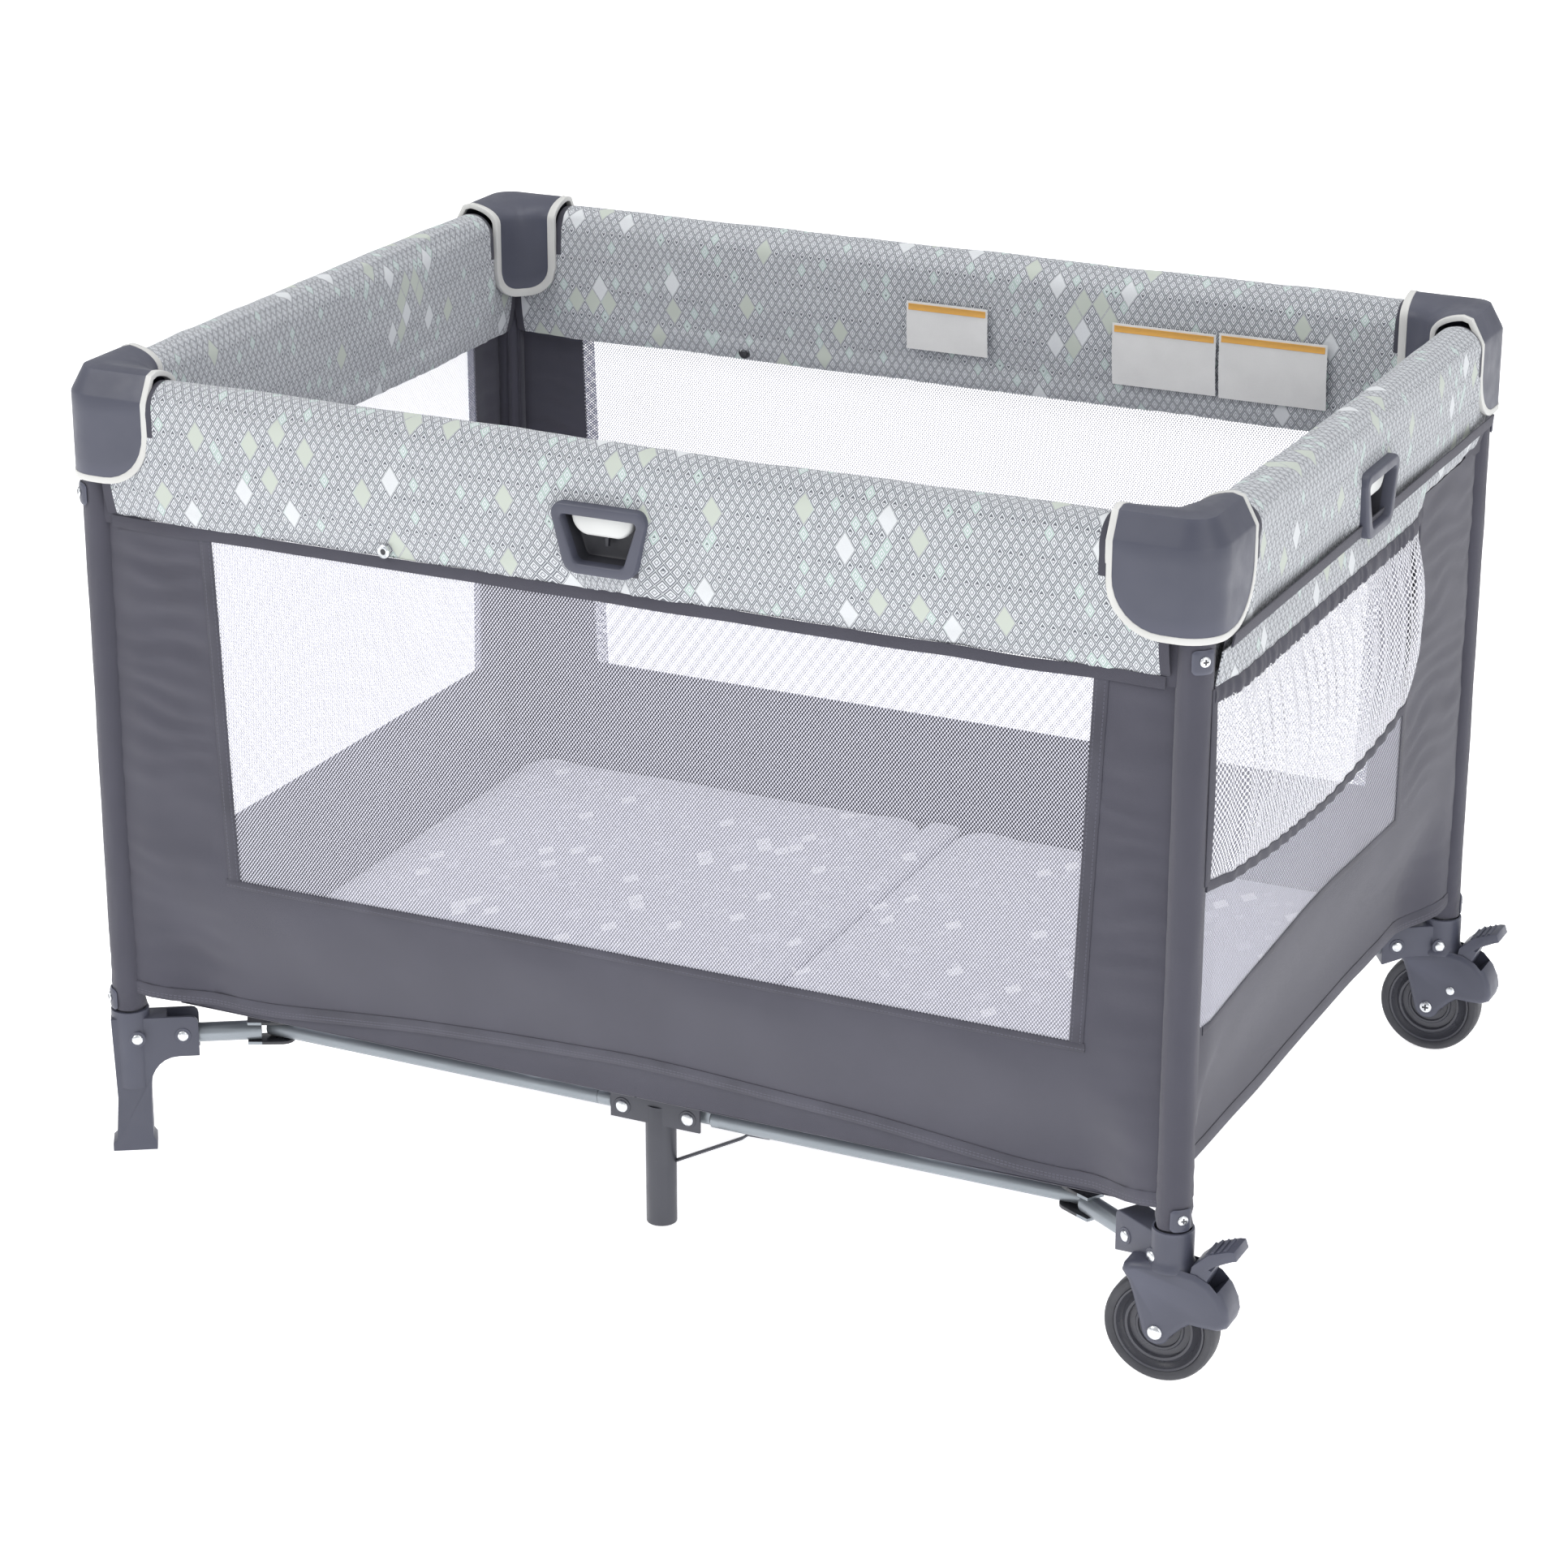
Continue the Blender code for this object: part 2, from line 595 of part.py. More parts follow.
def make_latch(side):
    """Two cheek plates, a block between the tube ends, and the handle under it."""
    name = f"latch_{side}"
    low = RAIL_Z - LATCH_RISE
    high = RAIL_Z + LATCH_RISE
    block = Vector((LATCH_BLOCK_HALF, LATCH_CHEEK[1] - LATCH_OVERLAP, 0))
    top = Vector((0, 0, high))
    bottom = Vector((0, 0, low))
    latch = box(name, bottom - block, top + block, "slate_plastic")
    for label, sy in (("out", -1), ("in", 1)):
        near, far = sorted((sy * LATCH_CHEEK[0], sy * LATCH_CHEEK[1]))
        cheek = box(f"{name}_cheek_{label}", (-LATCH_HALF, near, low), (LATCH_HALF, far, high))
        join(latch, cheek)
    depth = HANDLE_OUT - HANDLE_IN
    place = Matrix.Translation((0, -(HANDLE_OUT + HANDLE_IN) / 2, 0)) @ FRONT_PLANE
    handle = trapezoid(HANDLE_TOP_HALF, HANDLE_LOW_HALF, *HANDLE_Z)
    join(latch, prism(f"{name}_handle", handle, depth, place))
    neck_half = LATCH_BLOCK_HALF - LATCH_OVERLAP
    neck_low = (-neck_half, NECK_Y[0], HANDLE_Z[1] - 2 * LATCH_OVERLAP)
    neck_high = (neck_half, NECK_Y[1], low + 2 * LATCH_OVERLAP)
    join(latch, box(f"{name}_neck", neck_low, neck_high))
    recess = trapezoid(RECESS_TOP_HALF, RECESS_LOW_HALF, *RECESS_Z)
    place = Matrix.Translation((0, -HANDLE_OUT, 0)) @ FRONT_PLANE
    cut(latch, prism(f"{name}_recess", recess, 2 * RECESS_DEPTH, place))
    hang(move(latch, side_place(side)), f"hinge_latch_{side}")


def make_button(side):
    """The half-moon grip that slides up into the handle."""
    low, high = BUTTON_Z
    edge = high - BUTTON_EDGE
    flatten = (edge - low) / BUTTON_HALF
    outline = [(BUTTON_HALF, high), (-BUTTON_HALF, high)]
    outline += [(u, edge + v * flatten) for u, v in arc((0, 0), BUTTON_HALF, 180, 360, 8)]
    back = -HANDLE_OUT + RECESS_DEPTH - GAP
    place = Matrix.Translation((0, back - BUTTON_THICK / 2, 0)) @ FRONT_PLANE
    button = prism(f"button_{side}", outline, BUTTON_THICK, place, "pale_plastic")
    hang(move(button, side_place(side)), f"slide_button_{side}")


# ---------------------------------------------------------------- folding base frame
def make_link(corner):
    """A short tube with two round ears that hold the long tube's end."""
    name = f"base_link_{corner}"
    start = on_link(corner, LINK_START)
    link = tube(name, LINK_R, LINK_WALL, start, on_link(corner, LINK_END), "silver_tube")
    reach = BRACKET_PIVOT + LINK_LENGTH
    root = LINK_END - 0.012
    outline = [(root, -0.008), (LINK_END, -0.0095)] + arc((reach, 0), EAR_R, -90, 90, 8)
    outline += [(LINK_END, 0.0095), (root, 0.008)]
    direction = link_direction(corner)
    turn = Matrix.Rotation(math.atan2(direction.y, direction.x), 4, "Z")
    for label, sz in (("high", 1), ("low", -1)):
        height = BASE_Z + sz * (EAR_Z[0] + EAR_Z[1]) / 2
        place = Matrix.Translation(post_axis(corner) + Vector((0, 0, height))) @ turn
        join(link, prism(f"{name}_ear_{label}", outline, EAR_Z[1] - EAR_Z[0], place))
    hang(link, f"hinge_link_{corner}")


def make_long_tube(corner):
    sx = CORNERS[corner][0]
    start = clevis(corner) + Vector((sx * LONG_PAST_CLEVIS, 0, 0))
    end = hub_pivot(corner) + Vector((sx * YOKE_SHOULDER, 0, 0))
    long_tube = tube(f"base_tube_{corner}", LONG_R, LONG_WALL, start, end, "silver_tube")
    hang(long_tube, f"hinge_clevis_{corner}")


def make_yoke(corner):
    """The end fitting that turns in the long tube and carries the hub on its flat tang."""
    name = f"yoke_{corner}"
    centre = hub_pivot(corner)
    root = -YOKE_BARREL - 0.0025
    tang = arc((0, 0), TANG_R, 90, -90, 6) + [(root, -TANG_R), (root, TANG_R)]
    yoke = prism(name, tang, 2 * YOKE_HALF, Matrix.Translation(centre) @ FRONT_PLANE, "silver_tube")
    along = Vector((1, 0, 0))
    barrel_end = centre - along * YOKE_BARREL
    shoulder = centre - along * (YOKE_SHOULDER - GAP)
    spigot_root = barrel_end - along * 0.001
    spigot_end = centre - along * (YOKE_SHOULDER + SPIGOT_LENGTH)
    join(yoke, rod(f"{name}_barrel", LONG_R, shoulder, barrel_end, segments=16))
    join(yoke, rod(f"{name}_spigot", SPIGOT_R, spigot_end, spigot_root, segments=12))
    hang(yoke, f"swivel_yoke_{corner}")


def make_hub(hub, corner):
    """An inverted channel over the tube ends, with the centre leg under it."""
    name = f"hub_{hub}"
    y = hub_pivot(corner).y
    low = (-HUB_HALF, y - HUB_OUTER, BASE_Z + HUB_LOW)
    high = (HUB_HALF, y + HUB_OUTER, BASE_Z + HUB_HIGH)
    hub_part = box(name, low, high, "slate_plastic")
    inner_low = (low[0] - PAST, y - HUB_INNER, low[2] - PAST)
    inside = box(f"{name}_inside", inner_low, (high[0] + PAST, y + HUB_INNER, BASE_Z + HUB_WEB))
    leg = rod(f"{name}_leg", LEG_R, (0, y, LEG_BOTTOM), (0, y, BASE_Z + LEG_TOP), segments=24)
    cut(hub_part, inside)
    join(hub_part, leg)
    hang(hub_part, f"hinge_hub_{hub}")


# ---------------------------------------------------------------- soft goods, as plain solids
def make_cover(side):
    """The padded sleeve over a rail: a channel that hangs on both sides, notched for the handle."""
    _, half, _ = SIDES[side]
    end = half - CAP_REACH - COVER_END_GAP
    low, high = COVER_Z
    name = f"rail_cover_{side}"
    cover = box(name, (-end, -COVER_HALF, low), (end, COVER_HALF, high), "print_fabric")
    inner = COVER_HALF - COVER_WALL
    hollow = box(f"{name}_hollow", (-1, -inner, low - PAST), (1, inner, high - COVER_WALL))
    notch_half = HANDLE_TOP_HALF + COVER_NOTCH_GAP
    notch_high = (notch_half, 0, HANDLE_Z[1] + COVER_NOTCH_GAP)
    cut(cover, hollow, box(f"{name}_notch", (-notch_half, -2 * COVER_HALF, low - PAST), notch_high))
    hang(move(cover, side_place(side)), f"hinge_latch_{side}")


def make_wall(side):
    _, half, _ = SIDES[side]
    end = half - WALL_END
    low = (-end, -WALL_FACE, WALL_Z[0])
    high = (end, -WALL_FACE + WALL_THICK, WALL_Z[1])
    wall = box(f"wall_{side}", low, high, "slate_fabric")
    owner = {"front": "fl", "left": "fl", "back": "bl", "right": "fr"}[side]
    hang(move(wall, side_place(side)), FIXED[owner])


def slab(name, start, end, half_y, heights, material):
    """A flat panel between two places along x."""
    low, high = sorted((start, end))
    return box(name, (low, -half_y, heights[0]), (high, half_y, heights[1]), material)


def make_floor_and_pad():
    for half, sx in (("left", -1), ("right", 1)):
        floor = slab(f"floor_{half}", sx * FLOOR_SPLIT, sx * FLOOR_HALF[0], FLOOR_HALF[1], FLOOR_Z,
                     "slate_fabric")
        hang(floor, f"hinge_floor_{half}")
        pad = slab(f"pad_{half}", sx * (PAD_SPINE + GAP), sx * PAD_HALF[0], PAD_HALF[1], PAD_Z,
                   "pad_fabric")
        hang(pad, f"hinge_pad_{half}")
    hang(slab("pad_spine", -PAD_SPINE, PAD_SPINE, PAD_HALF[1], PAD_Z, "pad_fabric"), "slide_pad")


def make_pocket():
    """The organiser bag on the outside of the caster end, open at the top."""
    back = HALF_X + WALL_FACE + POCKET_CLEAR
    low = Vector((back, POCKET_Y[0], POCKET_Z[0]))
    high = Vector((back + POCKET_DEPTH, POCKET_Y[1], POCKET_Z[1]))
    pocket = box("organiser_pocket", low, high, "pocket_mesh")
    skin = Vector((POCKET_SKIN, POCKET_SKIN, POCKET_SKIN))
    open_top = Vector((-POCKET_SKIN, -POCKET_SKIN, PAST))
    cut(pocket, box("organiser_pocket_inside", low + skin, high + open_top))
    hang(pocket, FIXED["fr"])


for corner_name in CORNERS:
    make_post(corner_name)
    make_cap(corner_name)
    make_link(corner_name)
    make_long_tube(corner_name)
for corner_name in ("fl", "bl"):
    make_foot(corner_name)
    make_yoke(corner_name)
for corner_name in ("fr", "br"):
    make_caster(corner_name)
    make_wheel(corner_name)
    make_pedal(corner_name)
make_hub("front", "fl")
make_hub("back", "bl")
for side_name, (_, _, half_names) in SIDES.items():
    make_rail_half(side_name, half_names[0], -1)
    make_rail_half(side_name, half_names[1], 1)
    make_latch(side_name)
    make_button(side_name)
    make_cover(side_name)
    make_wall(side_name)
make_floor_and_pad()
make_pocket()
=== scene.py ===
"""Looks of the travel play yard: soft goods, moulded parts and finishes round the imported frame.

Metres, +Z up, in the frame of the CAD. Each side of the yard is made in its own flat coordinates: u along the
rail, o outwards from the line through the post axes, and z. Corner pieces are made round their post axis.
"""

import json
import math

import bmesh
import bpy
from mathutils import Matrix, Vector, noise


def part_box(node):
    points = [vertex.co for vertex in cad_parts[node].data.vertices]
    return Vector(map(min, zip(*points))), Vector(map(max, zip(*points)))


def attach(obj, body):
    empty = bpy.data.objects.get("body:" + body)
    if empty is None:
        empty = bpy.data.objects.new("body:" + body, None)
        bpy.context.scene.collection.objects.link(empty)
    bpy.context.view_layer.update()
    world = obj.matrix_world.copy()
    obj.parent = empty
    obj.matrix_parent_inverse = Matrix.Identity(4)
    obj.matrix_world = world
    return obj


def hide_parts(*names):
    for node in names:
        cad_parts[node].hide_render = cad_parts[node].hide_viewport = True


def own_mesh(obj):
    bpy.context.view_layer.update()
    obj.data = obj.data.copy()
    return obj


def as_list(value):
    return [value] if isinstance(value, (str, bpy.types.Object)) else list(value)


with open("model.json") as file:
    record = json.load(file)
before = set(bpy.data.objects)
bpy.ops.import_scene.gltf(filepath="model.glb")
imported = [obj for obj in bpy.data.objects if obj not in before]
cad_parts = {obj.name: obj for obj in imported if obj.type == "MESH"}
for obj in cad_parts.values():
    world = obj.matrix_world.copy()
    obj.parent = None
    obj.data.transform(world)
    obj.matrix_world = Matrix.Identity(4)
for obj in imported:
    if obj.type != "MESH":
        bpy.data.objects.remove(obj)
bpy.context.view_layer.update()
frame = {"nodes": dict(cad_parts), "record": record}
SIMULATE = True


# ---------------------------------------------------------------- places read from the frame
def centre_of(node):
    low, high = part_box(node)
    return (low + high) / 2


POST_FL = centre_of("post_fl")
POST_BR = centre_of("post_br")
CENTRE_X = (POST_FL.x + POST_BR.x) / 2
HALF_X = (POST_BR.x - POST_FL.x) / 2
HALF_Y = (POST_BR.y - POST_FL.y) / 2
POST_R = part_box("post_fl")[1].x - POST_FL.x
CAP_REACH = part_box("cap_fl")[1].x - POST_FL.x
CAP_HALF = POST_FL.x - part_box("cap_fl")[0].x
CAP_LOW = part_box("cap_fl")[0].z
CAP_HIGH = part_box("cap_fl")[1].z
BASE_Z = centre_of("base_tube_fl").z
HUB_Y = centre_of("hub_front").y
WHEEL = centre_of("tyre_fr")
WHEEL_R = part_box("tyre_fr")[1].z - WHEEL.z
LATCH_PIVOT = 0.033
COVER_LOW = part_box("rail_cover_front")[0].z
POCKET_LOW, POCKET_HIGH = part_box("organiser_pocket")
CORNERS = {"fl": (-1, -1), "fr": (1, -1), "bl": (-1, 1), "br": (1, 1)}
SIDES = {
    # name: turn about Z, half the post spacing, rail halves at -u and +u,
    # body and corner that the wall hangs from
    "front": (0, HALF_X, ("left", "right"), "corner_fl", "fl"),
    "right": (90, HALF_Y, ("front", "back"), "corner_fr", "fr"),
    "back": (180, HALF_X, ("right", "left"), "corner_bl", "bl"),
    "left": (270, HALF_Y, ("back", "front"), "corner_fl", "fl"),
}


def side_matrix(side):
    """The place of a side's own coordinates."""
    turn = SIDES[side][0]
    out = HALF_Y if side in ("front", "back") else HALF_X
    middle = Matrix.Translation((CENTRE_X, 0, 0))
    return middle @ Matrix.Rotation(math.radians(turn), 4, "Z") @ Matrix.Translation((0, -out, 0))


def on_side(u, o, z):
    """A point at u along a side, o outwards and z up."""
    return Vector((u, -o, z))


def corner_place(corner):
    """Mirrors a piece made with the outside of the yard towards +x and +y to a corner."""
    sx, sy = CORNERS[corner]
    place = Matrix.Translation((CENTRE_X + sx * HALF_X, sy * HALF_Y, 0))
    return place @ Matrix.Diagonal((sx, sy, 1, 1))


def ripple(u, v, seed, size):
    """Smooth noise from -1 to 1, with waves of about that size."""
    return noise.noise(Vector((u / size, v / size, seed)))


def smooth_step(x):
    x = min(1.0, max(0.0, x))
    return x * x * (3 - 2 * x)


def evenly(start, stop, count):
    return [start + (stop - start) * k / count for k in range(count + 1)]


def lengths_along(points):
    """Length of a line of 2-D points up to each of them."""
    lengths = [0.0]
    for (a, b), (c, d) in zip(points, points[1:]):
        lengths.append(lengths[-1] + math.hypot(c - a, d - b))
    return lengths


def spaced(breaks, step):
    """Places between breaks, about step apart, with every break kept."""
    places = [breaks[0]]
    for start, end in zip(breaks, breaks[1:]):
        count = max(1, round(abs(end - start) / step))
        places += [start + (end - start) * i / count for i in range(1, count + 1)]
    return places


# ---------------------------------------------------------------- materials
class Graph:
    """A node material, with short calls for the nodes that the finishes share."""

    def __init__(self, name, roughness=0.5, metallic=0.0):
        self.material = bpy.data.materials.new(name)
        self.material.use_nodes = True
        self.tree = self.material.node_tree
        self.shader = self.tree.nodes["Principled BSDF"]
        self.shader.inputs["Roughness"].default_value = roughness
        self.shader.inputs["Metallic"].default_value = metallic
        self.coords = self.tree.nodes.new("ShaderNodeTexCoord")

    def feed(self, socket, value):
        if isinstance(value, bpy.types.NodeSocket):
            self.tree.links.new(value, socket)
        elif isinstance(value, tuple) and len(value) == 3 and socket.type == "RGBA":
            socket.default_value = (*value, 1.0)
        else:
            socket.default_value = value

    def math(self, operation, *values):
        node = self.tree.nodes.new("ShaderNodeMath")
        node.operation = operation
        for socket, value in zip(node.inputs, values):
            self.feed(socket, value)
        return node.outputs[0]

    def add(self, a, b):
        return self.math("ADD", a, b)

    def sub(self, a, b):
        return self.math("SUBTRACT", a, b)

    def mul(self, a, b):
        return self.math("MULTIPLY", a, b)

    def larger(self, a, b):
        return self.math("MAXIMUM", a, b)

    def size(self, a):
        return self.math("ABSOLUTE", a)

    def below(self, a, b):
        return self.math("LESS_THAN", a, b)

    def above(self, a, b):
        return self.math("GREATER_THAN", a, b)

    def mix(self, factor, a, b):
        node = self.tree.nodes.new("ShaderNodeMix")
        node.data_type = "RGBA"
        self.feed(node.inputs[0], factor)
        self.feed(node.inputs[6], a)
        self.feed(node.inputs[7], b)
        return node.outputs[2]

    def noise(self, scale, detail=2.0, roughness=0.5):
        node = self.tree.nodes.new("ShaderNodeTexNoise")
        self.feed(node.inputs["Vector"], self.coords.outputs["Object"])
        node.inputs["Scale"].default_value = scale
        node.inputs["Detail"].default_value = detail
        node.inputs["Roughness"].default_value = roughness
        return node.outputs["Fac"]

    def ramp(self, value, low, high, out_low=0.0, out_high=1.0):
        node = self.tree.nodes.new("ShaderNodeMapRange")
        for socket, given in zip(node.inputs, (value, low, high, out_low, out_high)):
            self.feed(socket, given)
        return node.outputs[0]

    def cloth_uv(self):
        """The two directions of the cloth, in metres."""
        split = self.tree.nodes.new("ShaderNodeSeparateXYZ")
        self.feed(split.inputs[0], self.coords.outputs["UV"])
        return split.outputs[0], split.outputs[1]

    def weave(self, u, v, pitch):
        """Threads over and under, as a height from -1 to 1."""
        turn = math.tau / pitch
        across = self.math("SINE", self.mul(u, turn))
        down = self.math("SINE", self.mul(v, turn))
        return self.mul(across, down)

    def bump(self, height, distance, strength=1.0):
        node = self.tree.nodes.new("ShaderNodeBump")
        node.inputs["Strength"].default_value = strength
        node.inputs["Distance"].default_value = distance
        self.feed(node.inputs["Height"], height)
        self.feed(self.shader.inputs["Normal"], node.outputs[0])

    def colour(self, value):
        self.feed(self.shader.inputs["Base Color"], value)

    def rough(self, value):
        self.feed(self.shader.inputs["Roughness"], value)


def shaded(colour, factor):
    return tuple(min(1.0, channel * factor) for channel in colour)


def moulded(name, colour, roughness=0.42):
    """Moulded plastic with a fine spark-eroded grain, handling marks and paler worn edges."""
    g = Graph(name)
    mottle = g.noise(14, 3)
    edge = g.tree.nodes.new("ShaderNodeNewGeometry").outputs["Pointiness"]
    worn = g.ramp(edge, 0.53, 0.62)
    base = g.mix(g.ramp(mottle, 0.3, 0.7), shaded(colour, 0.93), shaded(colour, 1.07))
    g.colour(g.mix(g.mul(worn, 0.35), base, shaded(colour, 1.8)))
    g.rough(g.ramp(g.noise(60, 3), 0.3, 0.7, roughness - 0.06, roughness + 0.08))
    g.bump(g.noise(1700, 2), 0.00012, 0.5)
    return g.material


def painted(name, colour, roughness=0.34, metallic=0.55):
    """Sprayed paint on steel tube: slight orange peel and fine scratches."""
    g = Graph(name, roughness, metallic)
    base = g.mix(g.ramp(g.noise(9, 3), 0.3, 0.7), shaded(colour, 0.94), shaded(colour, 1.06))
    scratches = g.ramp(g.noise(260, 5, roughness=0.8), 0.66, 0.72)
    g.colour(g.mix(g.mul(scratches, 0.4), base, shaded(colour, 1.6)))
    g.rough(g.ramp(g.noise(40, 2), 0.3, 0.7, roughness - 0.05, roughness + 0.08))
    g.bump(g.noise(320, 2), 0.00015, 0.35)
    return g.material


def zinc(name):
    g = Graph(name, 0.3, 1.0)
    g.colour(g.mix(g.ramp(g.noise(350, 3), 0.35, 0.65), (0.62, 0.64, 0.67), (0.86, 0.88, 0.90)))
    g.rough(g.ramp(g.noise(500, 3), 0.3, 0.7, 0.2, 0.38))
    g.bump(g.noise(900, 2), 0.0001, 0.3)
    return g.material


def rubber(name):
    g = Graph(name)
    dust = g.ramp(g.noise(25, 4), 0.45, 0.75)
    g.colour(g.mix(g.mul(dust, 0.5), (0.050, 0.051, 0.060), (0.085, 0.085, 0.095)))
    g.rough(g.ramp(g.noise(90, 3), 0.3, 0.7, 0.5, 0.68))
    g.bump(g.noise(1200, 3), 0.0002, 0.5)
    return g.material


def woven(name, colour, pitch=0.0009, sheen=0.25):
    """Plain woven polyester. The cloth's own u and v carry the threads."""
    g = Graph(name, 0.85)
    u, v = g.cloth_uv()
    threads = g.weave(u, v, pitch)
    fibres = g.noise(700, 3)
    mottle = g.noise(22, 3)
    tone = g.add(g.mul(threads, 0.12), g.ramp(mottle, 0.3, 0.7, 0.38, 0.62))
    base = g.mix(tone, shaded(colour, 0.78), shaded(colour, 1.22))
    g.colour(g.mix(g.mul(fibres, 0.25), base, shaded(colour, 1.35)))
    g.shader.inputs["Sheen Weight"].default_value = sheen
    g.shader.inputs["Sheen Roughness"].default_value = 0.45
    g.bump(g.add(threads, fibres), 0.00022, 0.55)
    return g.material


def stitched(name, colour, lines):
    """Cloth tape with rows of stitches at those places across it, in metres."""
    g = Graph(name, 0.85)
    u, v = g.cloth_uv()
    dash = g.below(g.math("FRACT", g.math("DIVIDE", u, 0.0034)), 0.68)
    marks = None
    for place in lines:
        near = g.below(g.size(g.sub(v, place)), 0.00038)
        marks = near if marks is None else g.larger(marks, near)
    stitch = g.mul(marks, dash)
    threads = g.weave(u, v, 0.0009)
    base = g.mix(g.ramp(g.noise(22, 3), 0.3, 0.7), shaded(colour, 0.8), shaded(colour, 1.15))
    base = g.mix(g.mul(marks, 0.5), base, shaded(colour, 0.55))
    g.colour(g.mix(stitch, base, shaded(colour, 1.5)))
    g.shader.inputs["Sheen Weight"].default_value = 0.2
    height = g.add(g.mul(threads, 0.3), g.sub(stitch, marks))
    g.bump(height, 0.0004, 0.7)
    return g.material


def diamond_cells(g, width, height):
    """Coordinates on a lattice of upright diamonds: the place in a cell from -0.5 to 0.5, and the cell."""
    u, v = g.cloth_uv()
    p = g.math("DIVIDE", u, width)
    q = g.math("DIVIDE", v, height)
    a = g.add(p, q)
    b = g.sub(p, q)
    cell_a = g.math("FLOOR", a)
    cell_b = g.math("FLOOR", b)
    in_a = g.sub(g.sub(a, cell_a), 0.5)
    in_b = g.sub(g.sub(b, cell_b), 0.5)
    return in_a, in_b, cell_a, cell_b


def cell_random(g, cell_a, cell_b, seed):
    """A random number from 0 to 1 for each cell."""
    join = g.tree.nodes.new("ShaderNodeCombineXYZ")
    for socket, value in zip(join.inputs, (cell_a, cell_b, seed)):
        g.feed(socket, value)
    node = g.tree.nodes.new("ShaderNodeTexWhiteNoise")
    node.noise_dimensions = "3D"
    g.feed(node.inputs["Vector"], join.outputs[0])
    return node.outputs["Value"]


def diamond_print(name, ground, line, lattice, green, mint, width=0.0086, height=0.0136):
    """The small geometric print: nested diamond outlines, with a few filled, white or mint ones."""
    g = Graph(name, 0.88)
    in_a, in_b, cell_a, cell_b = diamond_cells(g, width, height)
    d = g.mul(g.larger(g.size(in_a), g.size(in_b)), 2.0)

    def between(low, high):
        return g.mul(g.above(d, low), g.below(d, high))

    wide_a, wide_b, block_a, block_b = diamond_cells(g, 2 * width, 2 * height)
    wide = g.larger(g.size(wide_a), g.size(wide_b))
    block = g.mul(wide, 2.0)
    in_block = g.below(block, 0.93)

    def chance(low, high, seed, column=cell_a, row_cell=cell_b):
        value = cell_random(g, column, row_cell, seed)
        return g.mul(g.above(value, low), g.below(value, high))

    kind = 3.0
    filled = chance(0.0, 0.040, kind, block_a, block_b)
    white = chance(0.040, 0.075, kind, block_a, block_b)
    minty = chance(0.070, 0.115, kind)
    outer = between(0.70, 0.93)
    inner = between(0.26, 0.44)
    row = g.sub(cell_a, cell_b)
    third = g.below(g.size(g.math("MODULO", row, 4.0)), 0.5)
    upper = g.above(g.sub(in_a, in_b), 0.0)
    triangle = g.mul(g.mul(between(-1.0, 0.40), upper), g.mul(third, chance(0.3, 1.0, 7.0)))
    base = g.mix(g.above(d, 0.93), ground, lattice)
    base = g.mix(outer, base, line)
    base = g.mix(g.mul(inner, 0.8), base, line)
    base = g.mix(triangle, base, shaded(line, 0.75))
    base = g.mix(g.mul(minty, g.larger(inner, outer)), base, mint)
    base = g.mix(g.mul(white, in_block), base, shaded(lattice, 1.12))
    base = g.mix(g.mul(filled, in_block), base, green)
    u, v = g.cloth_uv()
    threads = g.weave(u, v, 0.0008)
    fibres = g.noise(800, 3)
    tone = g.ramp(fibres, 0.25, 0.75, 0.0, 0.22)
    g.colour(g.mix(tone, base, shaded(ground, 0.72)))
    g.shader.inputs["Sheen Weight"].default_value = 0.2
    soft = g.add(g.mul(threads, 0.6), g.mul(g.noise(120, 3), 2.0))
    g.bump(soft, 0.0003, 0.5)
    return g.material


def netting(name, colour, width, height, hole):
    """Knitted mesh: round holes on a staggered lattice, cut out with alpha."""
    g = Graph(name, 0.6)
    in_a, in_b, _, _ = diamond_cells(g, width, height)
    reach = g.math("SQRT", g.add(g.mul(in_a, in_a), g.mul(in_b, in_b)))
    thread = g.ramp(reach, hole - 0.04, hole + 0.04)
    g.feed(g.shader.inputs["Alpha"], thread)
    g.colour(g.mix(g.noise(400, 2), shaded(colour, 0.9), shaded(colour, 1.06)))
    g.bump(reach, 0.0006, 0.6)
    return g.material


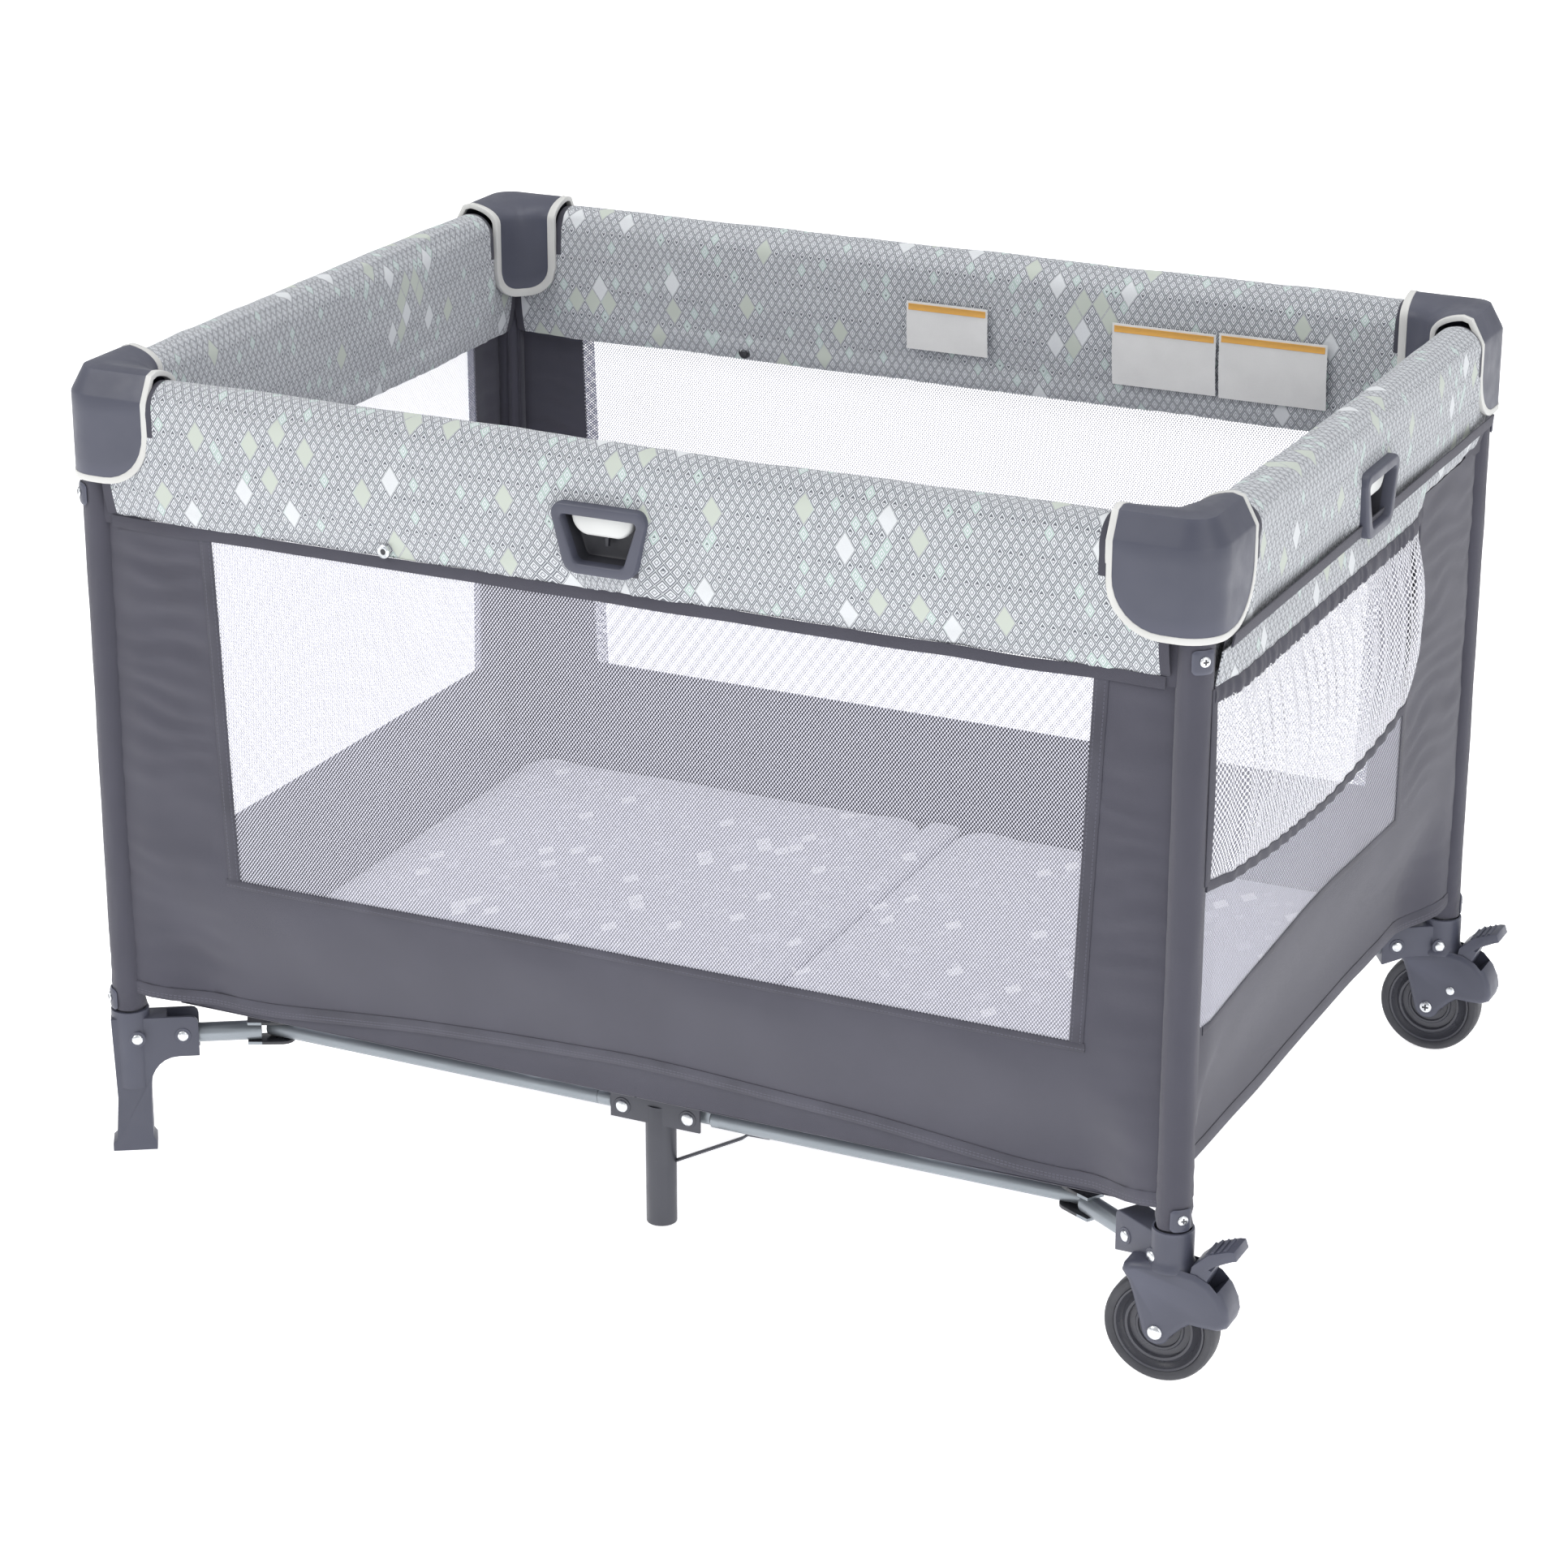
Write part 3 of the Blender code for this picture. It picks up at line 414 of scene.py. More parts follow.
SLATE = (0.070, 0.074, 0.104)
CLOTH = (0.068, 0.067, 0.090)
MATERIALS = {
    "plastic": moulded("slate_moulding", SLATE),
    # The next material is the slate moulding made darker: painted shade for the inner walls of recesses,
    # which are the same slate plastic in shadow.
    "recess_shade": moulded("recess_shade_moulding", (0.045, 0.046, 0.056), 0.5),
    "trim": moulded("pale_trim", (0.62, 0.62, 0.60), 0.45),
    "button": moulded("pale_button", (0.72, 0.73, 0.72), 0.35),
    "silver": painted("silver_paint", (0.30, 0.33, 0.36)),
    "slate_paint": painted("slate_paint", (0.075, 0.077, 0.092), 0.4, 0.3),
    "black": moulded("black_moulding", (0.035, 0.036, 0.043), 0.3),
    "zinc": zinc("zinc_plate"),
    "rubber": rubber("tyre_rubber_grain"),
    "print": diamond_print("diamond_print", (0.74, 0.76, 0.79), (0.105, 0.115, 0.145), (0.66, 0.68, 0.70),
                           (0.56, 0.61, 0.54), (0.36, 0.52, 0.46)),
    "pad_print": diamond_print("pad_print", (0.50, 0.50, 0.56), (0.44, 0.44, 0.50), (0.53, 0.53, 0.59),
                               (0.86, 0.86, 0.90), (0.70, 0.71, 0.76)),
    "cloth": woven("slate_cloth", CLOTH),
    "binding": woven("slate_binding", shaded(CLOTH, 0.85), 0.0012, 0.15),
    "thread": woven("grey_thread", (0.17, 0.17, 0.20), 0.0006),
    "label": woven("label_cloth", (0.82, 0.82, 0.81), 0.0005, 0.05),
    "label_band": woven("label_band", (0.78, 0.42, 0.10), 0.0005, 0.05),
    "net": netting("white_net", (0.74, 0.74, 0.83), 0.0028, 0.0038, 0.480),
    "net_fold": netting("folded_net", (0.17, 0.18, 0.30), 0.0028, 0.0038, 0.36),
    "pocket_net": netting("pocket_net", (0.90, 0.90, 0.94), 0.0042, 0.0056, 0.445),
}


# ---------------------------------------------------------------- mesh helpers
def linked(name, data):
    obj = bpy.data.objects.new(name, data)
    bpy.context.scene.collection.objects.link(obj)
    return obj


def add_mesh(name, points, faces, materials, uvs=None, face_slots=None):
    mesh = bpy.data.meshes.new(name)
    mesh.from_pydata([tuple(p) for p in points], [], faces)
    for material in materials:
        mesh.materials.append(MATERIALS[material])
    if uvs:
        layer = mesh.uv_layers.new(name="UVMap")
        for loop in mesh.loops:
            layer.data[loop.index].uv = uvs[loop.vertex_index]
    if face_slots:
        mesh.polygons.foreach_set("material_index", face_slots)
    mesh.update()
    return linked(name, mesh)


def shade(obj, angle=40):
    obj.data.shade_smooth()
    obj.data.set_sharp_from_angle(angle=math.radians(angle))
    return obj


def grid(name, rows, materials, uvs=None, keep=None, slot_of=None, wrap=False):
    """Quads between rows of points. keep(i, j) and slot_of(i, j) choose the faces and their material."""
    points = [p for row in rows for p in row]
    width = len(rows[0])
    faces = []
    slots = []
    for i in range(len(rows) - 1):
        for j in range(width if wrap else width - 1):
            if keep and not keep(i, j):
                continue
            k = (j + 1) % width
            faces.append((i * width + j, i * width + k, (i + 1) * width + k, (i + 1) * width + j))
            slots.append(slot_of(i, j) if slot_of else 0)
    flat_uvs = [uv for row in uvs for uv in row] if uvs else None
    return edited(add_mesh(name, points, faces, materials, flat_uvs, slots), drop_loose)


def edited(obj, *steps):
    """Runs steps on the mesh of an object. Each step is a function that takes the bmesh."""
    bm = bmesh.new()
    bm.from_mesh(obj.data)
    for step in steps:
        step(bm)
    bm.to_mesh(obj.data)
    bm.free()
    return obj


def drop_loose(bm):
    loose = [vert for vert in bm.verts if not vert.link_faces]
    bmesh.ops.delete(bm, geom=loose, context="VERTS")


def fill_ends(bm):
    bmesh.ops.holes_fill(bm, edges=[edge for edge in bm.edges if edge.is_boundary])


def face_out(bm):
    bmesh.ops.recalc_face_normals(bm, faces=bm.faces)


def weld(distance):
    return lambda bm: bmesh.ops.remove_doubles(bm, verts=bm.verts, dist=distance)


def apply_all(obj):
    """Replaces the mesh by what its modifiers make of it."""
    bpy.context.view_layer.update()
    evaluated = obj.evaluated_get(bpy.context.evaluated_depsgraph_get())
    mesh = bpy.data.meshes.new_from_object(evaluated)
    obj.modifiers.clear()
    obj.data = mesh
    return obj


def modifier(obj, kind, **settings):
    made = obj.modifiers.new(kind.lower(), kind)
    for key, value in settings.items():
        setattr(made, key, value)
    return made


def thicken(obj, thickness, offset=-1.0):
    modifier(obj, "SOLIDIFY", thickness=thickness, offset=offset, use_even_offset=True)
    return apply_all(obj)


def rounded_edges(obj, width, segments=2, angle=30):
    modifier(obj, "BEVEL", width=width, segments=segments, limit_method="ANGLE",
             angle_limit=math.radians(angle), use_clamp_overlap=True, harden_normals=False)
    return shade(apply_all(obj))


def put(obj, matrix):
    """Moves a mesh into the frame, and keeps its faces outwards if the place mirrors it."""
    obj.data.transform(matrix)
    if matrix.determinant() < 0:
        obj.data.flip_normals()
    obj.data.update()
    return obj


def sweep(name, path, section, up, material):
    """A strip with a closed section of (sideways, up) points, carried along a path."""
    path = [Vector(p) for p in path]
    count = len(path)
    rows = []
    lengths = [0.0]
    for i, point in enumerate(path):
        along = (path[min(i + 1, count - 1)] - path[max(i - 1, 0)]).normalized()
        rise = Vector(up)
        rise = (rise - along * rise.dot(along)).normalized()
        side = along.cross(rise)
        rows.append([point + side * a + rise * b for a, b in section])
        lengths.append(lengths[-1] + (path[i] - path[i - 1]).length if i else 0.0)
    uvs = [[(lengths[i + 1], s) for s in lengths_along(section)] for i in range(count)]
    return shade(edited(grid(name, rows, [material], uvs, wrap=True), fill_ends, face_out), 60)


def round_section(half_wide, half_high, corners=10, power=3.0):
    """A soft rectangle, as (sideways, up) points."""
    points = []
    for i in range(corners):
        angle = math.tau * i / corners
        c, s = math.cos(angle), math.sin(angle)
        points.append((half_wide * math.copysign(abs(c) ** (2 / power), c),
                       half_high * math.copysign(abs(s) ** (2 / power), s)))
    return points


def lathe(name, profile, place, material, steps=24):
    """Turns (radius, height) points about z, then puts the piece in place."""
    turns = [math.tau * i / steps for i in range(steps)]
    rows = [[Vector((r * math.cos(a), r * math.sin(a), height)) for a in turns] for r, height in profile]
    uvs = [[(i * 0.004, h + r) for i in range(steps)] for r, h in profile]
    obj = edited(grid(name, rows, [material], uvs, wrap=True), weld(0.00002), face_out)
    return shade(put(obj, place), 35)


def settle(obj, place, body):
    """Puts a piece in its place on a body."""
    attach(put(obj, place), body)


def facing(position, direction):
    """A place whose z axis leaves position along direction."""
    turn = Vector(direction).to_track_quat("Z", "Y").to_matrix().to_4x4()
    return Matrix.Translation(position) @ turn


def merged(name, objects):
    """Joins pieces into one mesh object."""
    first = objects[0]
    bm = bmesh.new()
    materials = []
    for obj in objects:
        slots = []
        for material in obj.data.materials:
            if material not in materials:
                materials.append(material)
            slots.append(materials.index(material))
        before = len(bm.faces)
        bm.from_mesh(obj.data)
        bm.faces.ensure_lookup_table()
        for face in bm.faces[before:]:
            face.material_index = slots[face.material_index]
    first.data.materials.clear()
    for material in materials:
        first.data.materials.append(material)
    bm.to_mesh(first.data)
    bm.free()
    for obj in objects[1:]:
        bpy.data.objects.remove(obj, do_unlink=True)
    first.name = name
    return first


def prism(name, outline, depth, material, place):
    """Extrudes an outline of (x, y) points by depth, centred on z = 0."""
    bm = bmesh.new()
    bottom = [bm.verts.new((x, y, -depth / 2)) for x, y in outline]
    face = bm.faces.new(bottom)
    made = bmesh.ops.extrude_face_region(bm, geom=[face])
    top = [item for item in made["geom"] if isinstance(item, bmesh.types.BMVert)]
    bmesh.ops.translate(bm, verts=top, vec=(0, 0, depth))
    bmesh.ops.recalc_face_normals(bm, faces=bm.faces)
    mesh = bpy.data.meshes.new(name)
    bm.to_mesh(mesh)
    bm.free()
    mesh.materials.append(MATERIALS[material])
    return put(linked(name, mesh), place)


def arc(centre, radius, start, end, steps=6):
    return [(centre[0] + radius * math.cos(math.radians(start + (end - start) * i / steps)),
             centre[1] + radius * math.sin(math.radians(start + (end - start) * i / steps)))
            for i in range(steps + 1)]


UPRIGHT = Matrix.Rotation(math.radians(90), 4, "X")     # an outline (x, z), extruded along y


def carry(node, material, width=0.0008, segments=2, second=None, reshape=None):
    """A CAD part with its edges rounded and a finish.

    second is (material, test of a face's centre). reshape gives each corner its place in the finished part.
    """
    source = frame["nodes"][node]
    bm = bmesh.new()
    bm.from_mesh(source.data)
    bmesh.ops.remove_doubles(bm, verts=bm.verts, dist=0.00001)
    bmesh.ops.dissolve_limit(bm, angle_limit=math.radians(0.5), verts=bm.verts, edges=bm.edges)
    bmesh.ops.recalc_face_normals(bm, faces=bm.faces)
    if reshape:
        for vert in bm.verts:
            vert.co = reshape(vert.co)
    mesh = bpy.data.meshes.new(f"{node}_finish")
    bm.to_mesh(mesh)
    bm.free()
    mesh.materials.append(MATERIALS[material])
    obj = linked(f"{node}_finish", mesh)
    if second:
        mesh.materials.append(MATERIALS[second[0]])
        for polygon in mesh.polygons:
            polygon.material_index = int(second[1](polygon.center))
    rounded_edges(obj, width, segments)
    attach(obj, BODY_OF[node])
    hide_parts(node)
    return obj


BODY_OF = {node: body for body, nodes in frame["record"]["behaviour"]["bodies"].items() for node in nodes}


# ---------------------------------------------------------------- cloth simulation
CLOTH_STIFFNESS = 12.0


def puff(obj, pinned, pressure, cap, frames=18):
    """Blows a padded piece up between its pinned seams, and keeps each point within cap of its start."""
    if not SIMULATE:
        return obj
    group = obj.vertex_groups.new(name="seams")
    group.add(pinned, 1.0, "REPLACE")
    start = [vert.co.copy() for vert in obj.data.vertices]
    made = modifier(obj, "CLOTH")
    settings = made.settings
    settings.quality = 5
    settings.mass = 0.25
    settings.tension_stiffness = settings.compression_stiffness = CLOTH_STIFFNESS
    settings.shear_stiffness = CLOTH_STIFFNESS / 2
    settings.bending_stiffness = 0.15
    settings.vertex_group_mass = "seams"
    settings.use_pressure = True
    settings.uniform_pressure_force = pressure
    settings.effector_weights.gravity = 0.0
    made.collision_settings.use_self_collision = False
    made.point_cache.frame_start = 1
    made.point_cache.frame_end = frames
    for number in range(1, frames + 1):
        bpy.context.scene.frame_set(number)
    evaluated = obj.evaluated_get(bpy.context.evaluated_depsgraph_get())
    ends = [vert.co.copy() for vert in evaluated.data.vertices]
    obj.modifiers.clear()
    obj.vertex_groups.clear()
    for vert, before, after in zip(obj.data.vertices, start, ends):
        shift = after - before
        if shift.length > cap:
            shift *= cap / shift.length
        vert.co = before + shift
    obj.data.update()
    bpy.context.scene.frame_set(1)
    return obj


def squash_side(obj, side):
    """Hangs a side's cloth on the body of the corner that the side hangs from, with a mesh of its own."""
    body, corner = SIDES[side][3:]
    sx, sy = CORNERS[corner]
    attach(obj, body)
    if side in ("front", "back"):
        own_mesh(obj)
    else:
        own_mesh(obj)
    return obj


# ---------------------------------------------------------------- corner caps
CAP_OUT = CAP_HALF - 0.003
CAP_ARM = CAP_REACH - 0.020       # reach of the finished arm, from the post axis
CAP_CORNER_R = 0.030
RIDGE_Z = 0.684
CAP_TOP_Z = CAP_HIGH + 0.002
CAP_INNER_TOP_Z = 0.688
BEVEL_IN, BEVEL_UP = 0.0100, 0.0187     # the slope between a cap's ridge and its crown
OUTER_LOW = CAP_LOW + 0.006
INNER_LOW = CAP_LOW + 0.010
OUTER_ROUND, INNER_ROUND = 0.045, 0.028
OUTER_TRIM, INNER_TRIM = 0.0055, 0.0075


def lower_edge(distance, low, radius, trim=0.0):
    """Height of a cap's lower edge, or of the edge of its trim, at a distance from the end of the arm."""
    reach = radius - trim
    x = min(1.0, max(0.0, (distance - trim) / reach))
    return low + trim + reach * (1 - math.sqrt(max(0.0, 1 - (1 - x) ** 2)))


def cap_steps(half, trim, radius):
    """Distances along a cap's plan, finer at the trim and the rounded ends of both arms."""
    steps = [0, trim / 2, trim]
    steps += [trim + (radius - trim) * (1 - math.cos(math.radians(90 * k / 8))) for k in range(1, 9)]
    steps += [radius + (half - radius) * k / 7 for k in range(1, 8)]
    return steps + [2 * half - s for s in reversed(steps[:-1])]


def cap_outer(s):
    """Point and outward direction on the outer plan of a cap, from the end of one arm to the other."""
    arm = CAP_OUT - CAP_CORNER_R + CAP_ARM
    bend = CAP_CORNER_R * math.pi / 2
    centre = CAP_OUT - CAP_CORNER_R
    if s < arm:
        return Vector((s - CAP_ARM, CAP_OUT, 0)), Vector((0, 1, 0))
    if s < arm + bend:
        angle = math.pi / 2 - (s - arm) / CAP_CORNER_R
        out = Vector((math.cos(angle), math.sin(angle), 0))
        return Vector((centre, centre, 0)) + out * CAP_CORNER_R, out
    return Vector((CAP_OUT, centre - (s - arm - bend), 0)), Vector((1, 0, 0))


def cap_inner(s):
    """Point on the concave inner plan of a cap."""
    radius = CAP_ARM - CAP_HALF
    angle = math.pi / 2 - s / radius
    return Vector((-CAP_ARM + radius * math.cos(angle), -CAP_ARM + radius * math.sin(angle), 0))


def cap_sections():
    """Rows of points over a cap, from its outer lower edge over the crown to its inner lower edge."""
    half_outer = CAP_OUT - CAP_CORNER_R + CAP_ARM + CAP_CORNER_R * math.pi / 4
    half_inner = (CAP_ARM - CAP_HALF) * math.pi / 4
    sections = []
    outer_steps = cap_steps(half_outer, OUTER_TRIM, OUTER_ROUND)
    inner_steps = cap_steps(half_inner, INNER_TRIM, INNER_ROUND)
    for so, si in zip(outer_steps, inner_steps):
        out, away = cap_outer(so)
        inner = cap_inner(si)
        d_out, d_in = min(so, 2 * half_outer - so), min(si, 2 * half_inner - si)
        low = lower_edge(d_out, OUTER_LOW, OUTER_ROUND)
        trim = lower_edge(d_out, OUTER_LOW, OUTER_ROUND, OUTER_TRIM)
        ridge = RIDGE_Z - 0.0015
        points = [(out, low)] + [(out, trim + (ridge - trim) * k / 5) for k in range(6)]
        points += [(out - away * (0.0010 + BEVEL_IN * k / 3), RIDGE_Z + 0.0008 + BEVEL_UP * k / 3)
                   for k in range(4)]
        crown = out - away * 0.0130
        for k in range(0, 9):
            angle = math.radians(10 + 80 * k / 8)
            z = CAP_INNER_TOP_Z + (CAP_TOP_Z - CAP_INNER_TOP_Z) * math.cos(angle)
            points.append((crown.lerp(inner, math.sin(angle)), z))
        trim = lower_edge(d_in, INNER_LOW, INNER_ROUND, INNER_TRIM)
        points += [(inner, CAP_INNER_TOP_Z + (trim - CAP_INNER_TOP_Z) * k / 5) for k in range(1, 6)]
        points.append((inner, lower_edge(d_in, INNER_LOW, INNER_ROUND)))
        sections.append([Vector((p.x, p.y, z)) for p, z in points])
    return sections


def make_cap(corner):
    sections = cap_sections()
    last_i, last_j = len(sections) - 2, len(sections[0]) - 2

    def is_trim(i, j):
        return i < 2 or i > last_i - 2 or j == 0 or j == last_j

    shell = grid(f"cap_shell_{corner}", sections, ["plastic"], keep=lambda i, j: not is_trim(i, j))
    trim = grid(f"cap_trim_{corner}", sections, ["trim"], keep=is_trim)
    for obj in (shell, trim):
        edited(obj, weld(0.00005),
               lambda bm: bmesh.ops.dissolve_degenerate(bm, edges=bm.edges, dist=0.00005))
    thicken(shell, 0.0030)
    shade(shell, 28)
    thicken(trim, 0.0046, -0.70)
    rounded_edges(trim, 0.0007, 2, 50)
    for obj in (shell, trim):
        settle(obj, corner_place(corner), f"corner_{corner}")
    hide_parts(f"cap_{corner}")


# ---------------------------------------------------------------- padded rail covers
COVER_HALF = 0.0235
COVER_TOP = 0.6985
COVER_FOOT = COVER_LOW + 0.001
COVER_FOOT_HALF = 0.0095        # half width at the foot
ROUND_FROM = 0.672              # above this the cover's section is round
TAIL_Z = 0.646                  # above this a cover ends inside the cap
COVER_SEEDS = {"front": 1.3, "right": 7.7, "back": 13.1, "left": 21.9}
HOLE_HALF = 0.037
HOLE_Z = (0.6035, 0.6480)


def cover_width(z):
    """Half width of a rail cover at a height."""
    rise = min(1.0, max(0.0, (z - COVER_LOW + 0.002) / 0.062))
    return COVER_FOOT_HALF + (COVER_HALF - COVER_FOOT_HALF) * math.sin(rise * math.pi / 2) ** 0.75


def cover_section():
    """(o, z) round a rail cover, from the foot of its outer face over the top to the inner foot."""
    heights = [COVER_FOOT + d for d in (0, 0.0035, 0.008, 0.013, 0.018)]
    heights += [HOLE_Z[0] + (HOLE_Z[1] - HOLE_Z[0]) * k / 5 for k in range(6)] + [0.6555, 0.6640, ROUND_FROM]
    outer = [(cover_width(z), z) for z in heights]
    middle = COVER_TOP - COVER_HALF
    top = [(COVER_HALF * math.cos(math.radians(a)), middle + COVER_HALF * math.sin(math.radians(a)))
           for a in range(6, 175, 14)]
    inner = [(-cover_width(z), z - 0.008 * smooth_step((0.62 - z) / 0.04)) for z in reversed(heights)]
    return outer + top + inner


def make_cover(side):
    half, halves = SIDES[side][1:3]
    # where the cover, the CAD cap's arm and the finished cap's arm end
    end, cap_end, arm_end = half - 0.0150, half - CAP_REACH + 0.0006, half - CAP_ARM + 0.0006
    # From here towards the post, the top of the cover takes the dark binding cloth. This is partly its dark
    # piping as it tucks under the cap, and partly painted shade of the gap under the cap's edge.
    recess_shade = arm_end - 0.0050
    breaks = [LATCH_PIVOT, HOLE_HALF, cap_end, recess_shade, arm_end, end]
    us = spaced([-u for u in reversed(breaks)] + breaks, 0.0085)
    section = cover_section()
    around = lengths_along(section)
    seed = COVER_SEEDS[side]
    rows, uvs = [], []
    for u in us:
        inside = smooth_step((abs(u) - arm_end + 0.004) / 0.010)
        row = []
        for (o, z), v in zip(section, around):
            near_seam = math.exp(-(z - COVER_LOW) / 0.022)
            pucker = 0.0011 * near_seam * math.sin(math.tau * u / 0.019 + 5 * ripple(u, 0, seed, 0.05))
            swell = 0.0016 * ripple(u, v, seed, 0.06) + 0.0007 * ripple(u, v, seed + 4, 0.022) + pucker
            away = Vector((o, max(0.0, z - ROUND_FROM), 0))
            away.normalize()
            sag = -0.0012 * ripple(u, 0, seed + 2, 0.11)
            o2 = (o + away.x * swell) * (1 - 0.17 * inside)
            taper = (0.026 + 0.25 * (min(z, HOLE_Z[1]) - 0.5975)) / HOLE_HALF - 1
            near = smooth_step(1 - (abs(u) - HOLE_HALF) / 0.030) if o > 0 and z < 0.668 else 0.0
            dip = 0.0025 * inside * (z > 0.66)
            z2 = z + away.y * swell + sag * near_seam - dip
            row.append(on_side(u * (1 + taper * near), o2, z2))
        rows.append(row)
        uvs.append([(u, v) for v in around])
    hole_rows = [j for j, (o, z) in enumerate(section[:14]) if HOLE_Z[0] - 1e-6 < z < HOLE_Z[1] - 1e-6]

    def in_hole(i, j):
        return j in hole_rows and abs((us[i] + us[i + 1]) / 2) < HOLE_HALF

    def slot_of(i, j):
        u = abs((us[i] + us[i + 1]) / 2)
        z = (section[j][1] + section[j + 1][1]) / 2
        end_strip = u > end - 0.006
        # The strip on top near the cap is partly piping and partly painted shade of the gap under the cap's
        # edge.
        return 1 if end_strip or (u > recess_shade and z > 0.656) else 0

    cover = grid(f"cover_{side}", rows, ["print", "binding"], uvs, lambda i, j: not in_hole(i, j), slot_of)
    parts = cover.data.attributes.new("part", "INT", "FACE")
    for polygon in cover.data.polygons:
        u = polygon.center.x
        limits = [-cap_end, -LATCH_PIVOT, LATCH_PIVOT, cap_end]
        parts.data[polygon.index].value = sum(u > limit for limit in limits)
    pinned = []
    for vert in cover.data.vertices:
        u, z = vert.co.x, vert.co.z
        at_hole = abs(u) < HOLE_HALF + 0.002 and -vert.co.y > 0.012 and z < HOLE_Z[1] + 0.001
        if z < COVER_LOW + 0.003 or abs(u) > arm_end - 0.002 or at_hole or z > COVER_TOP - 0.002:
            pinned.append(vert.index)
    puff(cover, pinned, pressure=5.0, cap=0.0035)
    modifier(cover, "SUBSURF", levels=1, render_levels=1)
    apply_all(cover)
    left_end, right_end = ({"front": ("fl", "fr"), "right": ("fr", "br"), "back": ("br", "bl"),
                            "left": ("bl", "fl")}[side])
    names = [(f"cover_{side}_end_{left_end}", f"corner_{left_end}"),
             (f"cover_{side}_{halves[0]}", f"rail_{side}_{halves[0]}"),
             (f"cover_{side}_middle", f"latch_{side}"),
             (f"cover_{side}_{halves[1]}", f"rail_{side}_{halves[1]}"),
             (f"cover_{side}_end_{right_end}", f"corner_{right_end}")]
    for part, (name, body) in enumerate(names):
        piece = linked(name, cover.data.copy())
        bm = bmesh.new()
        bm.from_mesh(piece.data)
        layer = bm.faces.layers.int["part"]
        out = [face for face in bm.faces if face[layer] != part
               or (part in (0, 4) and face.calc_center_median().z > TAIL_Z
                   and abs(face.calc_center_median().x) > arm_end)]
        bmesh.ops.delete(bm, geom=out, context="FACES")
        bm.to_mesh(piece.data)
        bm.free()
        shade(piece, 60)
        settle(piece, side_matrix(side), body)
        if part in (1, 2, 3):
            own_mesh(piece)
        if part == 2:
            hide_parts(f"rail_cover_{side}")
    bpy.data.objects.remove(cover, do_unlink=True)


# ---------------------------------------------------------------- handles and release buttons
LATCH_FRONT = 0.0190        # where the finished latch ends, behind the handle's face
# half width, height and corner radius at the top and at the foot
HANDLE_OUTER = ((0.0440, 0.6540, 0.0095), (0.0300, 0.5975, 0.0135))
HANDLE_OPENING = ((0.0345, 0.6450, 0.0035), (0.0215, 0.6060, 0.0070))


def handle_loop(shape, inset):
    """A trapezoid with rounded corners, as (u, z) points, moved inwards by inset."""
    (top, high, r_top), (low_half, low, r_low) = shape
    slope = math.hypot(high - low, top - low_half) / (high - low)
    lean = (top - low_half) / (high - low)
    top, low_half = top - inset * (slope + lean), low_half - inset * (slope - lean)
    high, low = high - inset, low + inset
    corners = [(-low_half, low, r_low), (low_half, low, r_low), (top, high, r_top), (-top, high, r_top)]
    points = []
    for n, (x, z, radius) in enumerate(corners):
        radius = max(0.0012, radius - inset)
        here = Vector((x, z))
        before = (Vector(corners[n - 1][:2]) - here).normalized()
        after = (Vector(corners[(n + 1) % 4][:2]) - here).normalized()
        half_angle = before.angle(after) / 2
        centre = here + (before + after).normalized() * radius / math.sin(half_angle)
        start = here + before * radius / math.tan(half_angle) - centre
        stop = here + after * radius / math.tan(half_angle) - centre
        first = math.atan2(start.y, start.x)
        turn = (math.atan2(stop.y, stop.x) - first) % math.tau
        points += [(centre.x + radius * math.cos(first + turn * k / 7),
                    centre.y + radius * math.sin(first + turn * k / 7)) for k in range(8)]
    return points


